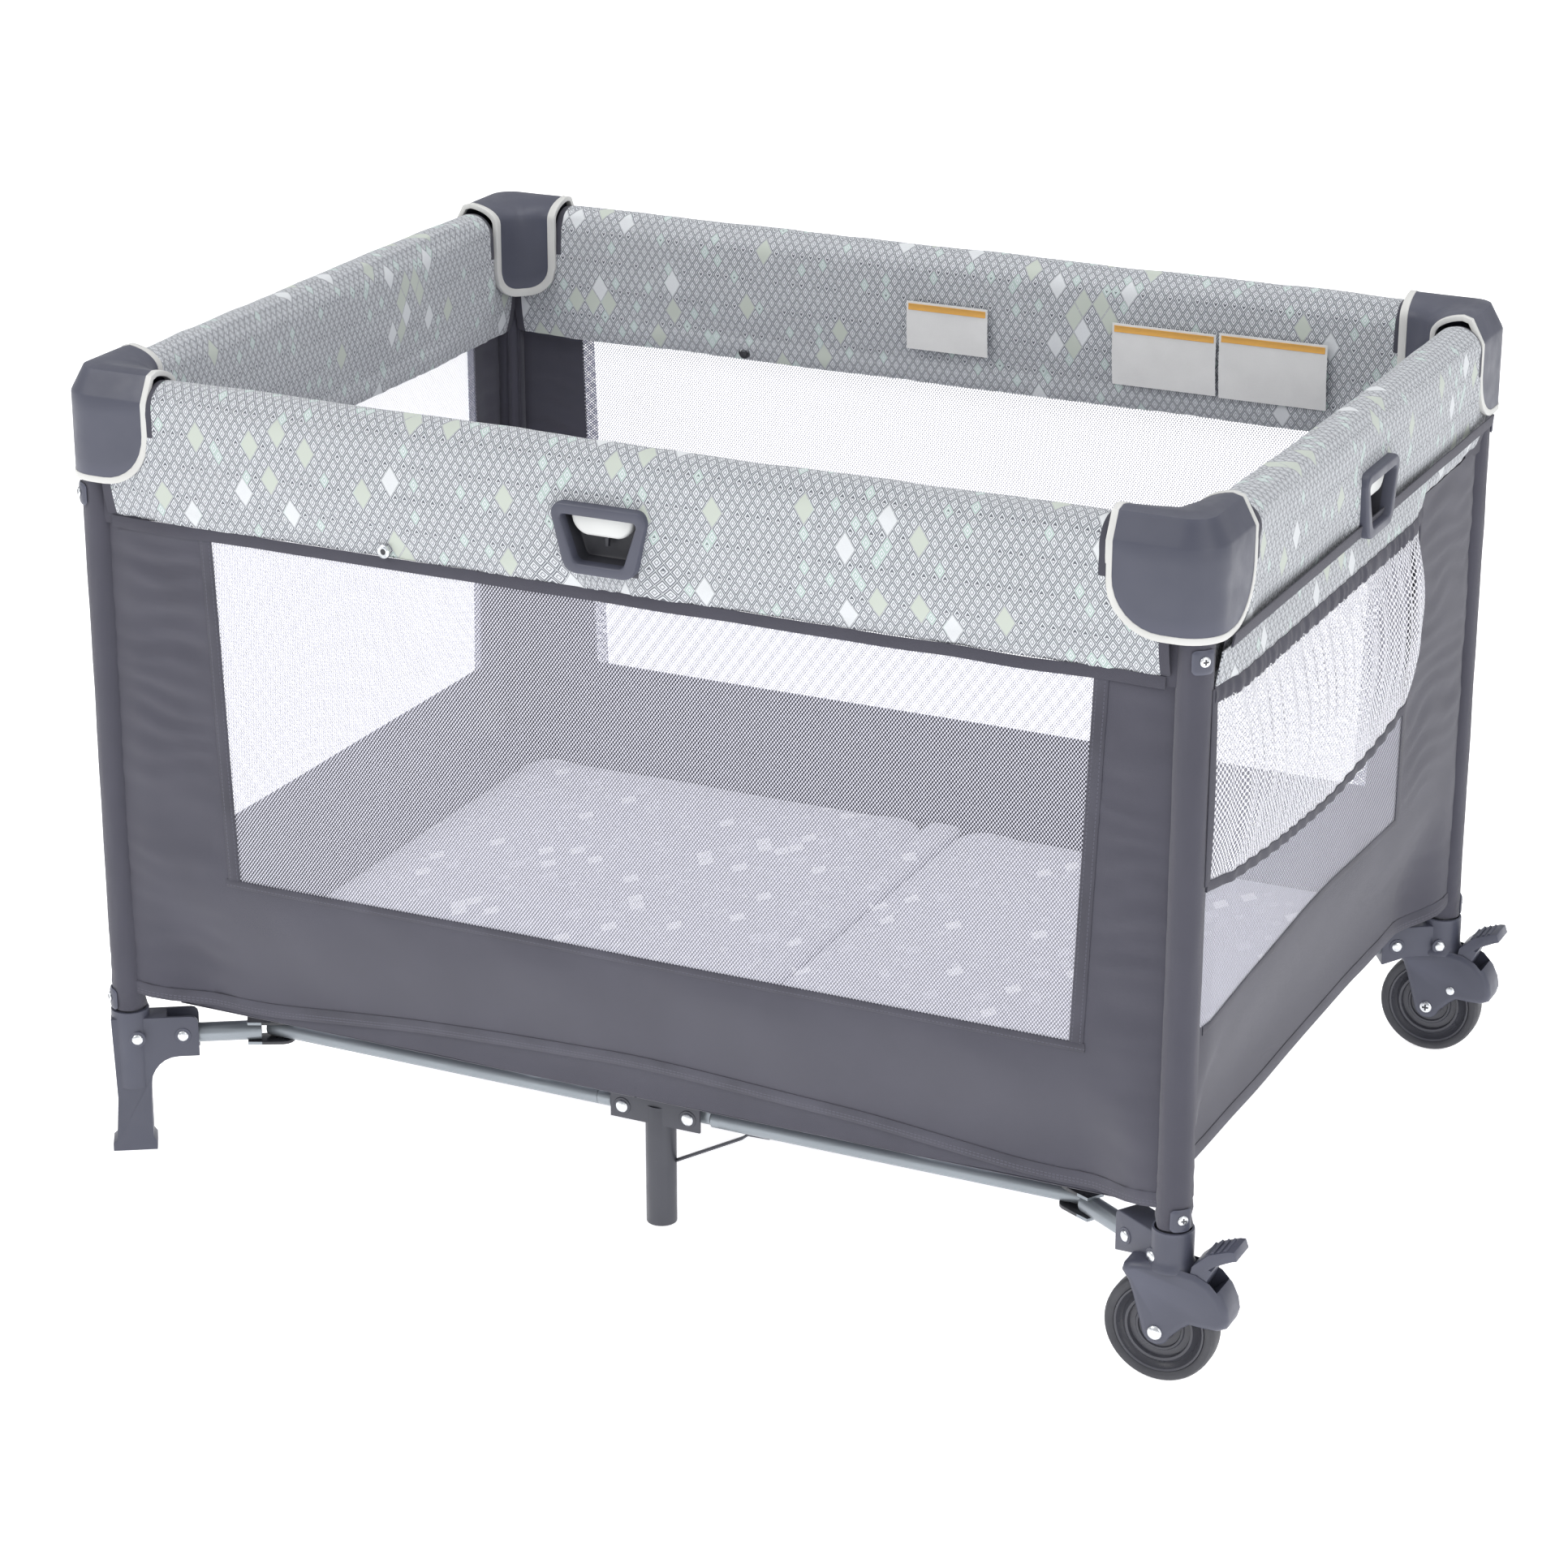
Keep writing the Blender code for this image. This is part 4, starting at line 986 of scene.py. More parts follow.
def make_handle(side):
    face = -handle_face(side)
    loops = [(HANDLE_OUTER, 0.0, 0.0170), (HANDLE_OUTER, 0.0, face - 0.0024),
             (HANDLE_OUTER, 0.0005, face - 0.0010),
             (HANDLE_OUTER, 0.0014, face - 0.0002), (HANDLE_OUTER, 0.0024, face),
             (HANDLE_OPENING, -0.0016, face), (HANDLE_OPENING, -0.0005, face - 0.0003),
             (HANDLE_OPENING, 0.0002, face - 0.0012), (HANDLE_OPENING, 0.0006, LATCH_FRONT),
             (HANDLE_OPENING, 0.0012, 0.0060), (HANDLE_OPENING, 0.0030, 0.0050),
             (HANDLE_OPENING, 0.0150, 0.0049)]
    rows = [[on_side(x, o, z) for x, z in handle_loop(shape, inset)] for shape, inset, o in loops]
    # The deeper rings of the opening and the closed back take the second, darker material: painted shade
    # inside the handle.
    handle = grid(f"handle_{side}", rows, ["plastic", "recess_shade"], slot_of=lambda i, j: int(i >= 8), wrap=True)

    def close_back(bm):
        rim = [edge for edge in bm.edges if edge.is_boundary and abs(edge.verts[0].co.y + 0.0049) < 0.0002]
        bmesh.ops.holes_fill(bm, edges=rim)
        # Painted shade: the back plate takes the darker recess material.
        for polygon in bm.faces:
            if len(polygon.verts) > 4:
                polygon.material_index = 1

    edited(handle, close_back, face_out)
    if max(handle.data.polygons, key=lambda p: -p.center.y).normal.y > 0:
        handle.data.flip_normals()
    shade(handle, 40)
    settle(handle, side_matrix(side), f"latch_{side}")
    inverse = side_matrix(side).inverted()

    def behind(point):
        local = inverse @ point
        local.y = max(local.y, -LATCH_FRONT)
        return side_matrix(side) @ local

    carry(f"latch_{side}", "slate_paint", 0.0005, 1, reshape=behind)
    outline = [(-0.0265, 0.6490), (-0.0272, 0.6440)] + arc((-0.0115, 0.6430), 0.0155, 190, 262, 6)
    outline += arc((0.0115, 0.6430), 0.0155, 278, 350, 6) + [(0.0272, 0.6440), (0.0265, 0.6490)]
    place = Matrix.Translation((0, -0.0160, 0)) @ UPRIGHT
    button = prism(f"button_{side}_finish", outline, 0.0100, "button", place)
    rounded_edges(button, 0.0030, 4, 50)
    settle(button, side_matrix(side), f"button_{side}")
    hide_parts(f"button_{side}")
    outline = [(-0.0022, 0.6300), (-0.0012, 0.6180), (0.0012, 0.6180), (0.0022, 0.6300)]
    place = Matrix.Translation((0, -0.0110, 0)) @ UPRIGHT
    # The stem takes the darker recess material: painted shade behind the button.
    stem = prism(f"button_stem_{side}", outline, 0.0040, "recess_shade", place)
    rounded_edges(stem, 0.0006)
    settle(stem, side_matrix(side), f"button_{side}")


def handle_face(side):
    """Outer face of a handle, in the side's own coordinates."""
    low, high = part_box(f"latch_{side}")
    place = side_matrix(side).inverted()
    return min((place @ low).y, (place @ high).y)


# ---------------------------------------------------------------- walls
WALL_FACE = 0.0100
WALL_END = 0.0092                   # how near the post axis the cloth ends
HEM_IN = (0.0222, 0.0212)           # how far the hems lean in, at the ends and along the sides
WALL_TOP = COVER_LOW - 0.001
SKIRT_Z, UPPER_FOOT = 0.275, 0.30   # where the window's lower corners are given, and the rows' lower end
BINDING_Z = 0.5765
WALL_SEEDS = {"front": 3.1, "right": 9.4, "back": 15.8, "left": 27.2}
LONG_HEM = [(-0.470, 0.152), (-0.430, 0.141), (-0.360, 0.138), (-0.200, 0.154), (0, 0.164),
            (0.200, 0.154), (0.360, 0.138), (0.430, 0.141), (0.470, 0.150)]
SHORT_HEM = [(-0.337, 0.150), (-0.300, 0.139), (0.300, 0.139), (0.337, 0.150)]
WALLS = {
    # name: window's left and right edge at the top and at the skirt, skirt's top and hem at places along u
    "front": ((-0.367, 0.406), (-0.354, 0.394), [(-1, 0.275), (1, 0.275)], LONG_HEM),
    "back": ((-0.405, 0.406), (-0.398, 0.396), [(-1, 0.240), (1, 0.240)], LONG_HEM),
    "right": ((-0.323, 0.150), (-0.331, 0.146),
              [(-0.335, 0.290), (-0.241, 0.297), (-0.057, 0.306), (0.137, 0.296)], SHORT_HEM),
    "left": ((-0.297, 0.285), (-0.294, 0.283), [(-1, 0.240), (1, 0.240)], SHORT_HEM),
}


def along(points, u):
    """Height of a line of (u, z) points at u."""
    if u <= points[0][0]:
        return points[0][1]
    for (a, z0), (b, z1) in zip(points, points[1:]):
        if u <= b:
            return z0 + (z1 - z0) * (u - a) / (b - a)
    return points[-1][1]


def eased(points, u, reach=0.05):
    """The same height, rounded off over that reach."""
    return sum(along(points, u + reach * k / 4) for k in range(-4, 5)) / 9


def wall_out(side, u, z):
    """How far out the cloth of a wall lies at a place."""
    half = SIDES[side][1]
    (top_left, top_right), _, skirt, _ = WALLS[side]
    seed = WALL_SEEDS[side]
    slow = 0.0022 * ripple(u, z, seed, 0.22)
    in_band = smooth_step((top_left - u) / 0.02) + smooth_step((u - top_right) / 0.02)
    soft = 0.0030 * noise.noise(Vector((u / 0.16, z / 0.032, seed)))
    depth = 0.0014 * (0.6 + ripple(u, z, seed + 1, 0.09))
    creases = depth * math.sin(math.tau * z / 0.022 + 5 * ripple(u, z, seed, 0.06))
    pleats = (soft + creases) * min(1.0, in_band)
    in_skirt = smooth_step((eased(skirt, u) - z) / 0.03)
    folds = 0.0026 * noise.noise(Vector(((u + 0.5 * z) / 0.10, (z - 0.3 * u) / 0.07, seed + 2))) * in_skirt
    edge = smooth_step((half - WALL_END - abs(u)) / 0.03)
    tuck = smooth_step((eased(skirt, u) - z) / 0.135) * smooth_step((half - WALL_END - abs(u)) / 0.075)
    level = WALL_FACE - (1 - edge) * 0.004 - tuck * (WALL_FACE + HEM_IN[side in ("front", "back")])
    return level + (slow + pleats + folds) * (0.25 + 0.75 * edge) * (1 - 0.6 * tuck)


def make_wall(side):
    half = SIDES[side][1]
    end = half - WALL_END
    (tl, tr), (bl, br), skirt, hem = WALLS[side]
    widths = [tl + end, tr - tl, end - tr]
    counts = [max(2, round(width / step)) for width, step in zip(widths, (0.009, 0.010, 0.009))]
    rows, uvs = [], []
    upper = spaced([WALL_TOP, UPPER_FOOT], 0.0045)
    lower = spaced([0.0, 1.0], 0.060)
    columns = []
    for part, count in enumerate(counts):
        columns += [(part, k / count) for k in range(count)]
    columns.append((2, 1.0))

    def place(part, f, z):
        down = min(1.0, max(0.0, (WALL_TOP - z) / (WALL_TOP - SKIRT_Z)))
        left, right = tl + (bl - tl) * down, tr + (br - tr) * down
        start, stop = [(-end, left), (left, right), (right, end)][part]
        return start + (stop - start) * f

    for level in [("up", z) for z in upper[:-1]] + [("low", t) for t in lower]:
        row, uv = [], []
        for part, f in columns:
            if level[0] == "up":
                rough = place(part, f, level[1])
                top = eased(skirt, rough)
                t = (WALL_TOP - level[1]) / (WALL_TOP - UPPER_FOOT)
                z = WALL_TOP + (top - WALL_TOP) * t
            else:
                rough = place(part, f, SKIRT_Z)
                top, foot = eased(skirt, rough), eased(hem, rough, 0.03)
                z = top + (foot - top) * level[1]
            u = place(part, f, z)
            row.append(on_side(u, wall_out(side, u, z), z))
            uv.append((u, z))
        rows.append(row)
        uvs.append(uv)
    net_rows = len(upper) - 1

    def slot_of(i, j):
        return 1 if columns[j][0] == 1 and i < net_rows else 0

    wall = grid(f"wall_cloth_{side}", rows, ["cloth", "net"], uvs, slot_of=slot_of)
    hung(wall, side, 0.0011)
    squash_side(wall, side)
    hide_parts(f"wall_{side}")
    wings = []
    for edge, inner in (("left", 1), ("right", -1)):
        path = []
        for k in range(25):
            z = WALL_TOP - 0.001 - (WALL_TOP - eased(skirt, bl if edge == "left" else br) - 0.001) * k / 24
            down = (WALL_TOP - z) / (WALL_TOP - SKIRT_Z)
            u = (tl + (bl - tl) * down) if edge == "left" else (tr + (br - tr) * down)
            path.append((u - inner * 0.0050, z))
        wings.append(ribbon(f"window_seam_{side}_{edge}", side, path, 0.0115, "seam", 0.0006))
        if side in ("back", "left"):
            folded = [(u + inner * 0.0115, z) for u, z in path]
            wings.append(ribbon(f"net_fold_{side}_{edge}", side, folded, 0.0120, "net_fold", 0.0004))
    end_in = end - 0.001
    path = [(u, eased(hem, u, 0.03) + 0.0060) for u in evenly(-end_in, end_in, 60)]
    wings.append(ribbon(f"hem_{side}", side, path, 0.0125, "hem", 0.0007))
    path = [(u, eased(skirt, u) - 0.0035) for u in evenly(tl, tr, 60)]
    wings.append(ribbon(f"skirt_seam_{side}", side, path, 0.0075, "seam", 0.0005))
    if side != "right":
        wings.append(make_binding(side))
    for label, sign in (("left", -1), ("right", 1)):
        path = [(sign * (half - 0.0540 + 0.0450 * k / 8), 0.5945) for k in range(9)]
        material = "print" if (side, label) == ("right", "left") else "binding"
        wings.append(ribbon(f"gusset_{side}_{label}", side, path[::sign], 0.0420, material, 0.0,
                            lambda name, u, z: 0.0092))
    for piece in wings:
        squash_side(piece, side)
    [f"post_sleeve_{c}" for c in wall_posts(side)]


def wall_posts(side):
    return {"front": ("fl", "fr"), "right": ("fr", "br"), "back": ("bl", "br"), "left": ("fl", "bl")}[side]


def hung(obj, side, thickness, angle=60):
    """Turns an open sheet of a side to look out of the yard, makes it solid and hangs it in place."""
    total = sum((polygon.normal.y * polygon.area for polygon in obj.data.polygons), 0.0)
    if total > 0:
        obj.data.flip_normals()
    thicken(obj, thickness)
    shade(obj, angle)
    return put(obj, side_matrix(side))


def ribbon(name, side, path, width, material, proud, on_wall=wall_out, thickness=0.0008):
    """A sewn strip of that width along a path of (u, z), lying on the cloth."""
    rows, uvs = [], []
    length = 0.0
    across = [-0.5, -0.4, 0.0, 0.4, 0.5]
    for i, (u, z) in enumerate(path):
        before, after = path[max(0, i - 1)], path[min(len(path) - 1, i + 1)]
        du, dz = after[0] - before[0], after[1] - before[1]
        size = math.hypot(du, dz)
        nu, nz = -dz / size, du / size
        if i:
            length += math.hypot(u - path[i - 1][0], z - path[i - 1][1])
        row, uv = [], []
        for a in across:
            pu, pz = u + nu * a * width, z + nz * a * width
            lift = proud + (0.0004 if abs(a) < 0.45 else 0.0)
            row.append(on_side(pu, on_wall(side, pu, pz) + lift, pz))
            uv.append((length, (a + 0.5) * width))
        rows.append(row)
        uvs.append(uv)
    return hung(grid(name, rows, [material], uvs), side, thickness)


def make_binding(side):
    """The dark binding under each rail cover."""
    end = SIDES[side][1] - 0.019
    count = 90

    def low(side_name, u, z):
        return max(0.0098 + 0.0006 * ripple(u, 0, 5.0, 0.03), wall_out(side_name, u, z) + 0.0008)

    path = [(-end + 2 * end * k / count, BINDING_Z + 0.0010 * ripple(2 * end * k / count, 0, 8.0, 0.06))
            for k in range(count + 1)]
    return ribbon(f"binding_{side}", side, path, 0.0100, "binding", 0.0010, low, 0.0016)


# ---------------------------------------------------------------- posts, plates and screws
SLEEVE = (0.134, 0.612)             # where a post's sleeve starts and ends
SLEEVE_OUT = 0.0014                 # how far it stands off the post


def make_post(corner):
    sx, sy = CORNERS[corner]
    seed = 3.0 * sx + 5.0 * sy
    low, high = SLEEVE
    rows, uvs = [], []
    for z in spaced([low, 0.19, high], 0.008):
        row, uv = [], []
        for k in range(28):
            angle = math.tau * k / 28
            bunch = math.exp(-(z - low) / 0.030)
            spot = Vector((2.0 * math.cos(angle), 2.0 * math.sin(angle) + z / 0.05, seed))
            wrinkle = 0.0006 * noise.noise(spot)
            fold = 0.0011 * bunch * math.sin(math.tau * (z / 0.016) + 3 * angle)
            seam = 0.0016 * math.exp(-((angle - math.radians(225)) / 0.09) ** 2)
            radius = POST_R + SLEEVE_OUT + wrinkle + fold + seam
            row.append(Vector((radius * math.cos(angle), radius * math.sin(angle), z)))
            uv.append((angle * radius, z))
        rows.append(row)
        uvs.append(uv)
    sleeve = grid(f"post_sleeve_{corner}", rows, ["cloth"], uvs, wrap=True)
    edited(sleeve, face_out)
    thicken(sleeve, 0.0006)
    shade(sleeve, 60)
    settle(sleeve, corner_place(corner), f"corner_{corner}")
    for label, z, tall in (("upper", 0.5965, 0.0095), ("lower", 0.1430, 0.0095)):
        make_plate(f"post_plate_{label}_{corner}", corner, z, tall)
    for label, angle in (("a", 205), ("b", 245)):
        turn = math.radians(angle)
        base = Vector((math.cos(turn), math.sin(turn), 0)) * (POST_R + 0.0022)
        path = [base + Vector((0, 0, z)) for z in spaced([0.150, 0.600], 0.02)]
        piping = sweep(f"post_piping_{label}_{corner}", path, round_section(0.0012, 0.0012, 8), (1, 0, 0),
                       "binding")
        settle(piping, corner_place(corner), f"corner_{corner}")


def dome_profile(radius, height, rim=0.0004):
    """Section of a screw's or rivet's head, for lathe."""
    points = [(0.0001, height)]
    points += [(radius * math.sin(math.radians(a)), rim + (height - rim) * math.cos(math.radians(a)))
               for a in (18, 36, 54, 72, 84, 90)]
    return points + [(radius, 0.0), (radius * 0.6, -0.0008)]


def screw(name, position, direction, radius=0.0042, height=0.0016, cross=True):
    """A zinc pan head with a cross recess, or a plain rivet dome."""
    place = facing(position, direction)
    head = lathe(name, dome_profile(radius, height), place, "zinc", 20)
    if not cross:
        return head
    arm, wide = radius * 0.52, radius * 0.15
    outline = [(arm, wide), (wide, wide), (wide, arm), (-wide, arm), (-wide, wide), (-arm, wide),
               (-arm, -wide), (-wide, -wide), (-wide, -arm), (wide, -arm), (wide, -wide), (arm, -wide)]
    # The cross recess is a black cross set into the zinc head: painted shade in the recess.
    sunk = place @ Matrix.Translation((0, 0, height - 0.00028))
    recess = prism(f"{name}_recess", outline, 0.0008, "black", sunk)
    return merged(name, [head, recess])


def make_plate(name, corner, z, tall):
    """The moulded clip that a screw holds to a post, bent round it."""
    rows = []
    wide = math.radians(36)
    for i in range(-6, 7):
        angle = math.radians(45) + wide * i / 6
        row = []
        for j in range(-6, 7):
            a, b = i / 6, j / 6
            corner_cut = max(0.0, abs(a) - 0.62) / 0.38
            reach = tall * (1 - 0.28 * corner_cut ** 2)
            bulge = 0.0012 * (1 - max(abs(a), abs(b)) ** 6)
            radius = POST_R + 0.0026 + bulge
            row.append(Vector((radius * math.cos(angle), radius * math.sin(angle), z + reach * b)))
        rows.append(row)
    plate = grid(name, rows, ["plastic"])
    middle = plate.data.polygons[len(plate.data.polygons) // 2]
    if middle.normal.dot(middle.center.xy.to_3d()) < 0:
        plate.data.flip_normals()
    thicken(plate, 0.0028)
    shade(plate, 40)
    away = Vector((math.cos(math.radians(45)), math.sin(math.radians(45)), 0))
    head = screw(f"{name}_screw", away * (POST_R + 0.0038) + Vector((0, 0, z + 0.001)), away)
    settle(merged(name, [plate, head]), corner_place(corner), f"corner_{corner}")


# ---------------------------------------------------------------- organiser pocket
POCKET_TOP = 0.5655
GATHER = 1.25           # width of the flat mesh over the width that it is gathered to


def pocket_out(u, z):
    """How far out the gathered mesh of the pocket stands."""
    low, high = along([(-0.333, 0.416), (-0.08, 0.394), (0.155, 0.417)], u), 0.566
    t = min(1.0, max(0.0, (z - low) / (high - low)))
    ends = smooth_step((u + 0.350) / 0.05) * smooth_step((0.158 - u) / 0.05)
    calm = 1 - 0.75 * smooth_step((t - 0.80) / 0.20)
    belly = 0.020 * math.sin(math.pi * min(1.0, t * 0.75 + 0.12)) * ends
    wave = math.sin(math.tau * u / 0.024 + 4 * ripple(u, z, 2.0, 0.12))
    gather = 0.0026 * wave * (0.35 + 0.65 * t) * ends * calm
    fine = 0.0010 * math.sin(math.tau * u / 0.0095 + 6 * ripple(u, z, 6.0, 0.06)) * t * ends * calm
    return 0.0140 + belly + gather + fine


def pocket_low(u):
    """Height of the pocket's lower edge."""
    return eased([(-0.345, 0.418), (-0.20, 0.402), (-0.08, 0.396), (0.05, 0.402), (0.155, 0.420)], u, 0.04)


def make_pocket():
    start, stop, top = POCKET_LOW.y - 0.012, POCKET_HIGH.y, POCKET_TOP
    us = spaced([start, stop], 0.0030)
    ts = spaced([0.0, 1.0], 0.055)
    rows, uvs = [], []
    for t in ts:
        levels = [pocket_low(u) + (top - pocket_low(u)) * t for u in us]
        rows.append([on_side(u, pocket_out(u, z), z) for u, z in zip(us, levels)])
        uvs.append([(u * GATHER, z) for u, z in zip(us, levels)])
    net = grid("pocket_mesh", rows, ["pocket_net"], uvs)
    hung(net, "right", 0.0004)
    squash_side(net, "right")
    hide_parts("organiser_pocket")

    rows, uvs = [], []
    for u in spaced([start, stop], 0.0016):
        beat = math.sin(math.tau * u / 0.0115 + 4 * ripple(u, 0, 4.0, 0.06))
        size = 0.7 + 0.6 * ripple(u, 0, 9.0, 0.05)
        edge = pocket_out(u, POCKET_TOP)
        row = []
        for k in range(6):
            t = k / 5
            low_edge = 0.5605 + 0.0013 * beat * size
            crimp = 0.0013 * beat * size * (1 - t) + 0.0015 * math.sin(math.pi * t)
            row.append(on_side(u, edge + 0.0007 + crimp, low_edge + (0.5750 - low_edge) * t))
        rows.append(row)
        uvs.append([(u, 0.003 * k) for k in range(6)])
    elastic = grid("pocket_elastic", rows, ["binding"], uvs)
    hung(elastic, "right", 0.0014, 70)
    squash_side(elastic, "right")

    def edge_out(side, u, z):
        return pocket_out(u, z) + 0.0004

    def header_out(side, u, z):
        rise = min(1.0, max(0.0, (z - 0.570) / 0.032))
        near = pocket_out(u, POCKET_TOP) - 0.0004
        return near + (cover_width(0.6020) + 0.0010 - near) * rise

    header_path = [(u, 0.5865) for u in spaced([start + 0.002, stop - 0.002], 0.006)]
    header = ribbon("pocket_header", "right", header_path, 0.0300, "print", 0.0003, header_out, 0.0012)
    squash_side(header, "right")

    low_path = [(u, pocket_low(u) - 0.001) for u in spaced([start, stop], 0.006)]
    front_path = [(start + 0.001, z) for z in spaced([pocket_low(start), 0.573], 0.01)]
    back_path = [(stop - 0.001, z) for z in spaced([pocket_low(stop), 0.573], 0.01)]
    for name, path in (("pocket_binding_low", low_path), ("pocket_binding_front", front_path),
                       ("pocket_binding_back", back_path)):
        strip = ribbon(name, "right", path, 0.0085, "binding", 0.0006, edge_out, 0.0016)
        squash_side(strip, "right")

    def over_cover(side, u, z):
        return cover_width(z) + 0.0012

    end = HALF_Y - 0.020
    for label, first, last, body in (("front", -end, -LATCH_PIVOT - 0.004, "rail_right_front"),
                                     ("middle", -LATCH_PIVOT - 0.004, LATCH_PIVOT + 0.004, "latch_right"),
                                     ("back", LATCH_PIVOT + 0.004, end, "rail_right_back")):
        path = [(u, 0.6055 + 0.0008 * ripple(u, 0, 3.0, 0.05)) for u in spaced([first, last], 0.008)]
        stripe = ribbon(f"pocket_top_binding_{label}", "right", path, 0.0115, "binding", 0.0012, over_cover,
                        0.0014)
        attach(stripe, body)
        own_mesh(stripe)


# ---------------------------------------------------------------- floor and pad
SKIRT_ENDS = (-0.4570, 0.4285)      # x of the end walls' skirts, where they lean in
PAD_FOOT = 0.1365
FLOOR_Z = 0.1350
RIM_TOP = 0.182


def inside_skirts(box, foot=None):
    """A box of the floor or the pad, shortened to stay inside the end walls' skirts."""
    low, high = (Vector(place) for place in box)
    low.x, high.x = max(low.x, SKIRT_ENDS[0]), min(high.x, SKIRT_ENDS[1])
    low.z = foot or low.z
    return low, high


def pillow(name, low, high, material, body, replaced, corner=0.03, edge=0.016):
    """A soft slab with rounded edges and corners, sewn round its middle."""
    centre = (low + high) / 2
    size = (high - low) / 2
    nx, ny = (max(4, round(2 * s / 0.016)) for s in (size.x, size.y))
    corner = min(corner, size.x * 0.9)
    fine = [0, 0.0015, 0.004, 0.008, 0.013]

    def places(half, count):
        inside = spaced([-half + 0.013, half - 0.013], 2 * half / count)
        return [-half + f for f in fine[:-1]] + inside + [half - f for f in reversed(fine[:-1])]

    xs, ys = places(size.x, nx), places(size.y, ny)
    seed = len(name) * 1.7

    def rows_for(sign):
        rows = []
        for y in ys:
            row = []
            for x in xs:
                dx = (abs(x) - size.x + corner) / corner
                dy = (abs(y) - size.y + corner) / corner
                px, py = x, y
                depth = min(size.x - abs(x), size.y - abs(y))
                if dx > 0 and dy > 0:
                    reach = max(dx, dy) / math.hypot(dx, dy)
                    px = math.copysign(size.x - corner + corner * dx * reach, x)
                    py = math.copysign(size.y - corner + corner * dy * reach, y)
                    depth = corner * (1 - max(dx, dy))
                share = min(1.0, max(0.0, depth / edge))
                height = size.z * math.sqrt(max(0.0, 1 - (1 - share) ** 2))
                height *= 1 + 0.10 * ripple(px, py, seed, 0.11)
                row.append(Vector((centre.x + px, centre.y + py, centre.z + sign * height)))
            rows.append(row)
        return rows

    top, bottom = rows_for(1), rows_for(-1)
    uvs = [[(p.x, p.y) for p in row] for row in top]
    upper = grid(f"{name}_top", top, [material], uvs)
    lower = grid(name, bottom, [material], uvs)
    lower.data.flip_normals()
    obj = edited(merged(name, [lower, upper]), weld(0.00005))
    pinned = [v.index for v in obj.data.vertices if abs(v.co.z - centre.z) < size.z * 0.3]
    puff(obj, pinned, pressure=3.0, cap=0.003, frames=12)
    shade(obj, 80)
    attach(obj, body)
    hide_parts(replaced)
    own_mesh(obj)


def rim_place(half_name, x, y, foot, z):
    """A place on the floor's turned-up rim, which leans out to the wall cloths between the posts."""
    across = x - CENTRE_X
    lean = smooth_step((z - foot) / 0.030)
    px, py = x, y
    if abs(y) > 0.31:
        side, u = ("front", across) if y < 0 else ("back", -across)
        share = lean * smooth_step((HALF_X - 0.060 - abs(across)) / 0.060)
        py += (math.copysign(HALF_Y + wall_out(side, u, z) - 0.0020, y) - y) * share
    if abs(across) > HALF_X - 0.045:
        u = -y if half_name == "left" else y
        share = lean * smooth_step((HALF_Y - 0.050 - abs(y)) / 0.050)
        edge = CENTRE_X + math.copysign(HALF_X + wall_out(half_name, u, z) - 0.0020, across)
        px += (edge - x) * share
    return Vector((px, py, z))


def make_floor(half_name):
    low, high = inside_skirts(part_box(f"floor_{half_name}"))
    xs = spaced([low.x, high.x], 0.02)
    lip = [(-high.y - 0.0018, 0.1338), (-high.y - 0.0012, 0.1346), (-high.y + 0.003, FLOOR_Z)]
    flat_part = spaced([-high.y + 0.012, high.y - 0.012], 0.03)
    middle = [(y, FLOOR_Z + 0.0003 * ripple(y, 0, 2.0, 0.1)) for y in flat_part]
    profile = lip + middle + [(-y, z) for y, z in reversed(lip)]
    runs = lengths_along(profile)
    rows = [[Vector((x, y, z)) for x in xs] for y, z in profile]
    uvs = [[(x, run) for x in xs] for run in runs]
    cloth = grid(f"floor_cloth_{half_name}", rows, ["cloth"], uvs)
    thicken(cloth, 0.0016)
    shade(cloth, 50)
    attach(cloth, f"floor_{half_name}")
    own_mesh(cloth)
    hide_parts(f"floor_{half_name}")
    far = low.x if half_name == "left" else high.x
    near = high.x + 0.0011 if half_name == "left" else low.x - 0.0011
    out = math.copysign(0.0016, far - near)
    rim = [(near, -high.y - 0.0015), (far - 6 * out, -high.y - 0.0015), (far + out, -high.y + 0.010),
           (far + out, high.y - 0.010), (far - 6 * out, high.y + 0.0015), (near, high.y + 0.0015)]
    around, rows = [], []
    for (x0, y0), (x1, y1) in zip(rim, rim[1:]):
        steps = max(1, round(math.hypot(x1 - x0, y1 - y0) / 0.02))
        around += [(x0 + (x1 - x0) * k / steps, y0 + (y1 - y0) * k / steps) for k in range(steps)]
    around.append(rim[-1])
    for x, y in around:
        foot = 0.1345 + 0.0010 * ripple(x, y, 4.0, 0.09)
        rows.append([rim_place(half_name, x, y, foot, foot + (RIM_TOP - foot) * k / 5) for k in range(6)])
    uvs = [[(run, 0.012 * k) for k in range(6)] for run in lengths_along(around)]
    rim_cloth = grid(f"floor_side_{half_name}", rows, ["cloth"], uvs)
    edited(rim_cloth, face_out)
    thicken(rim_cloth, 0.0010, 0.0)
    shade(rim_cloth, 50)
    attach(rim_cloth, f"floor_{half_name}")
    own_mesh(rim_cloth)


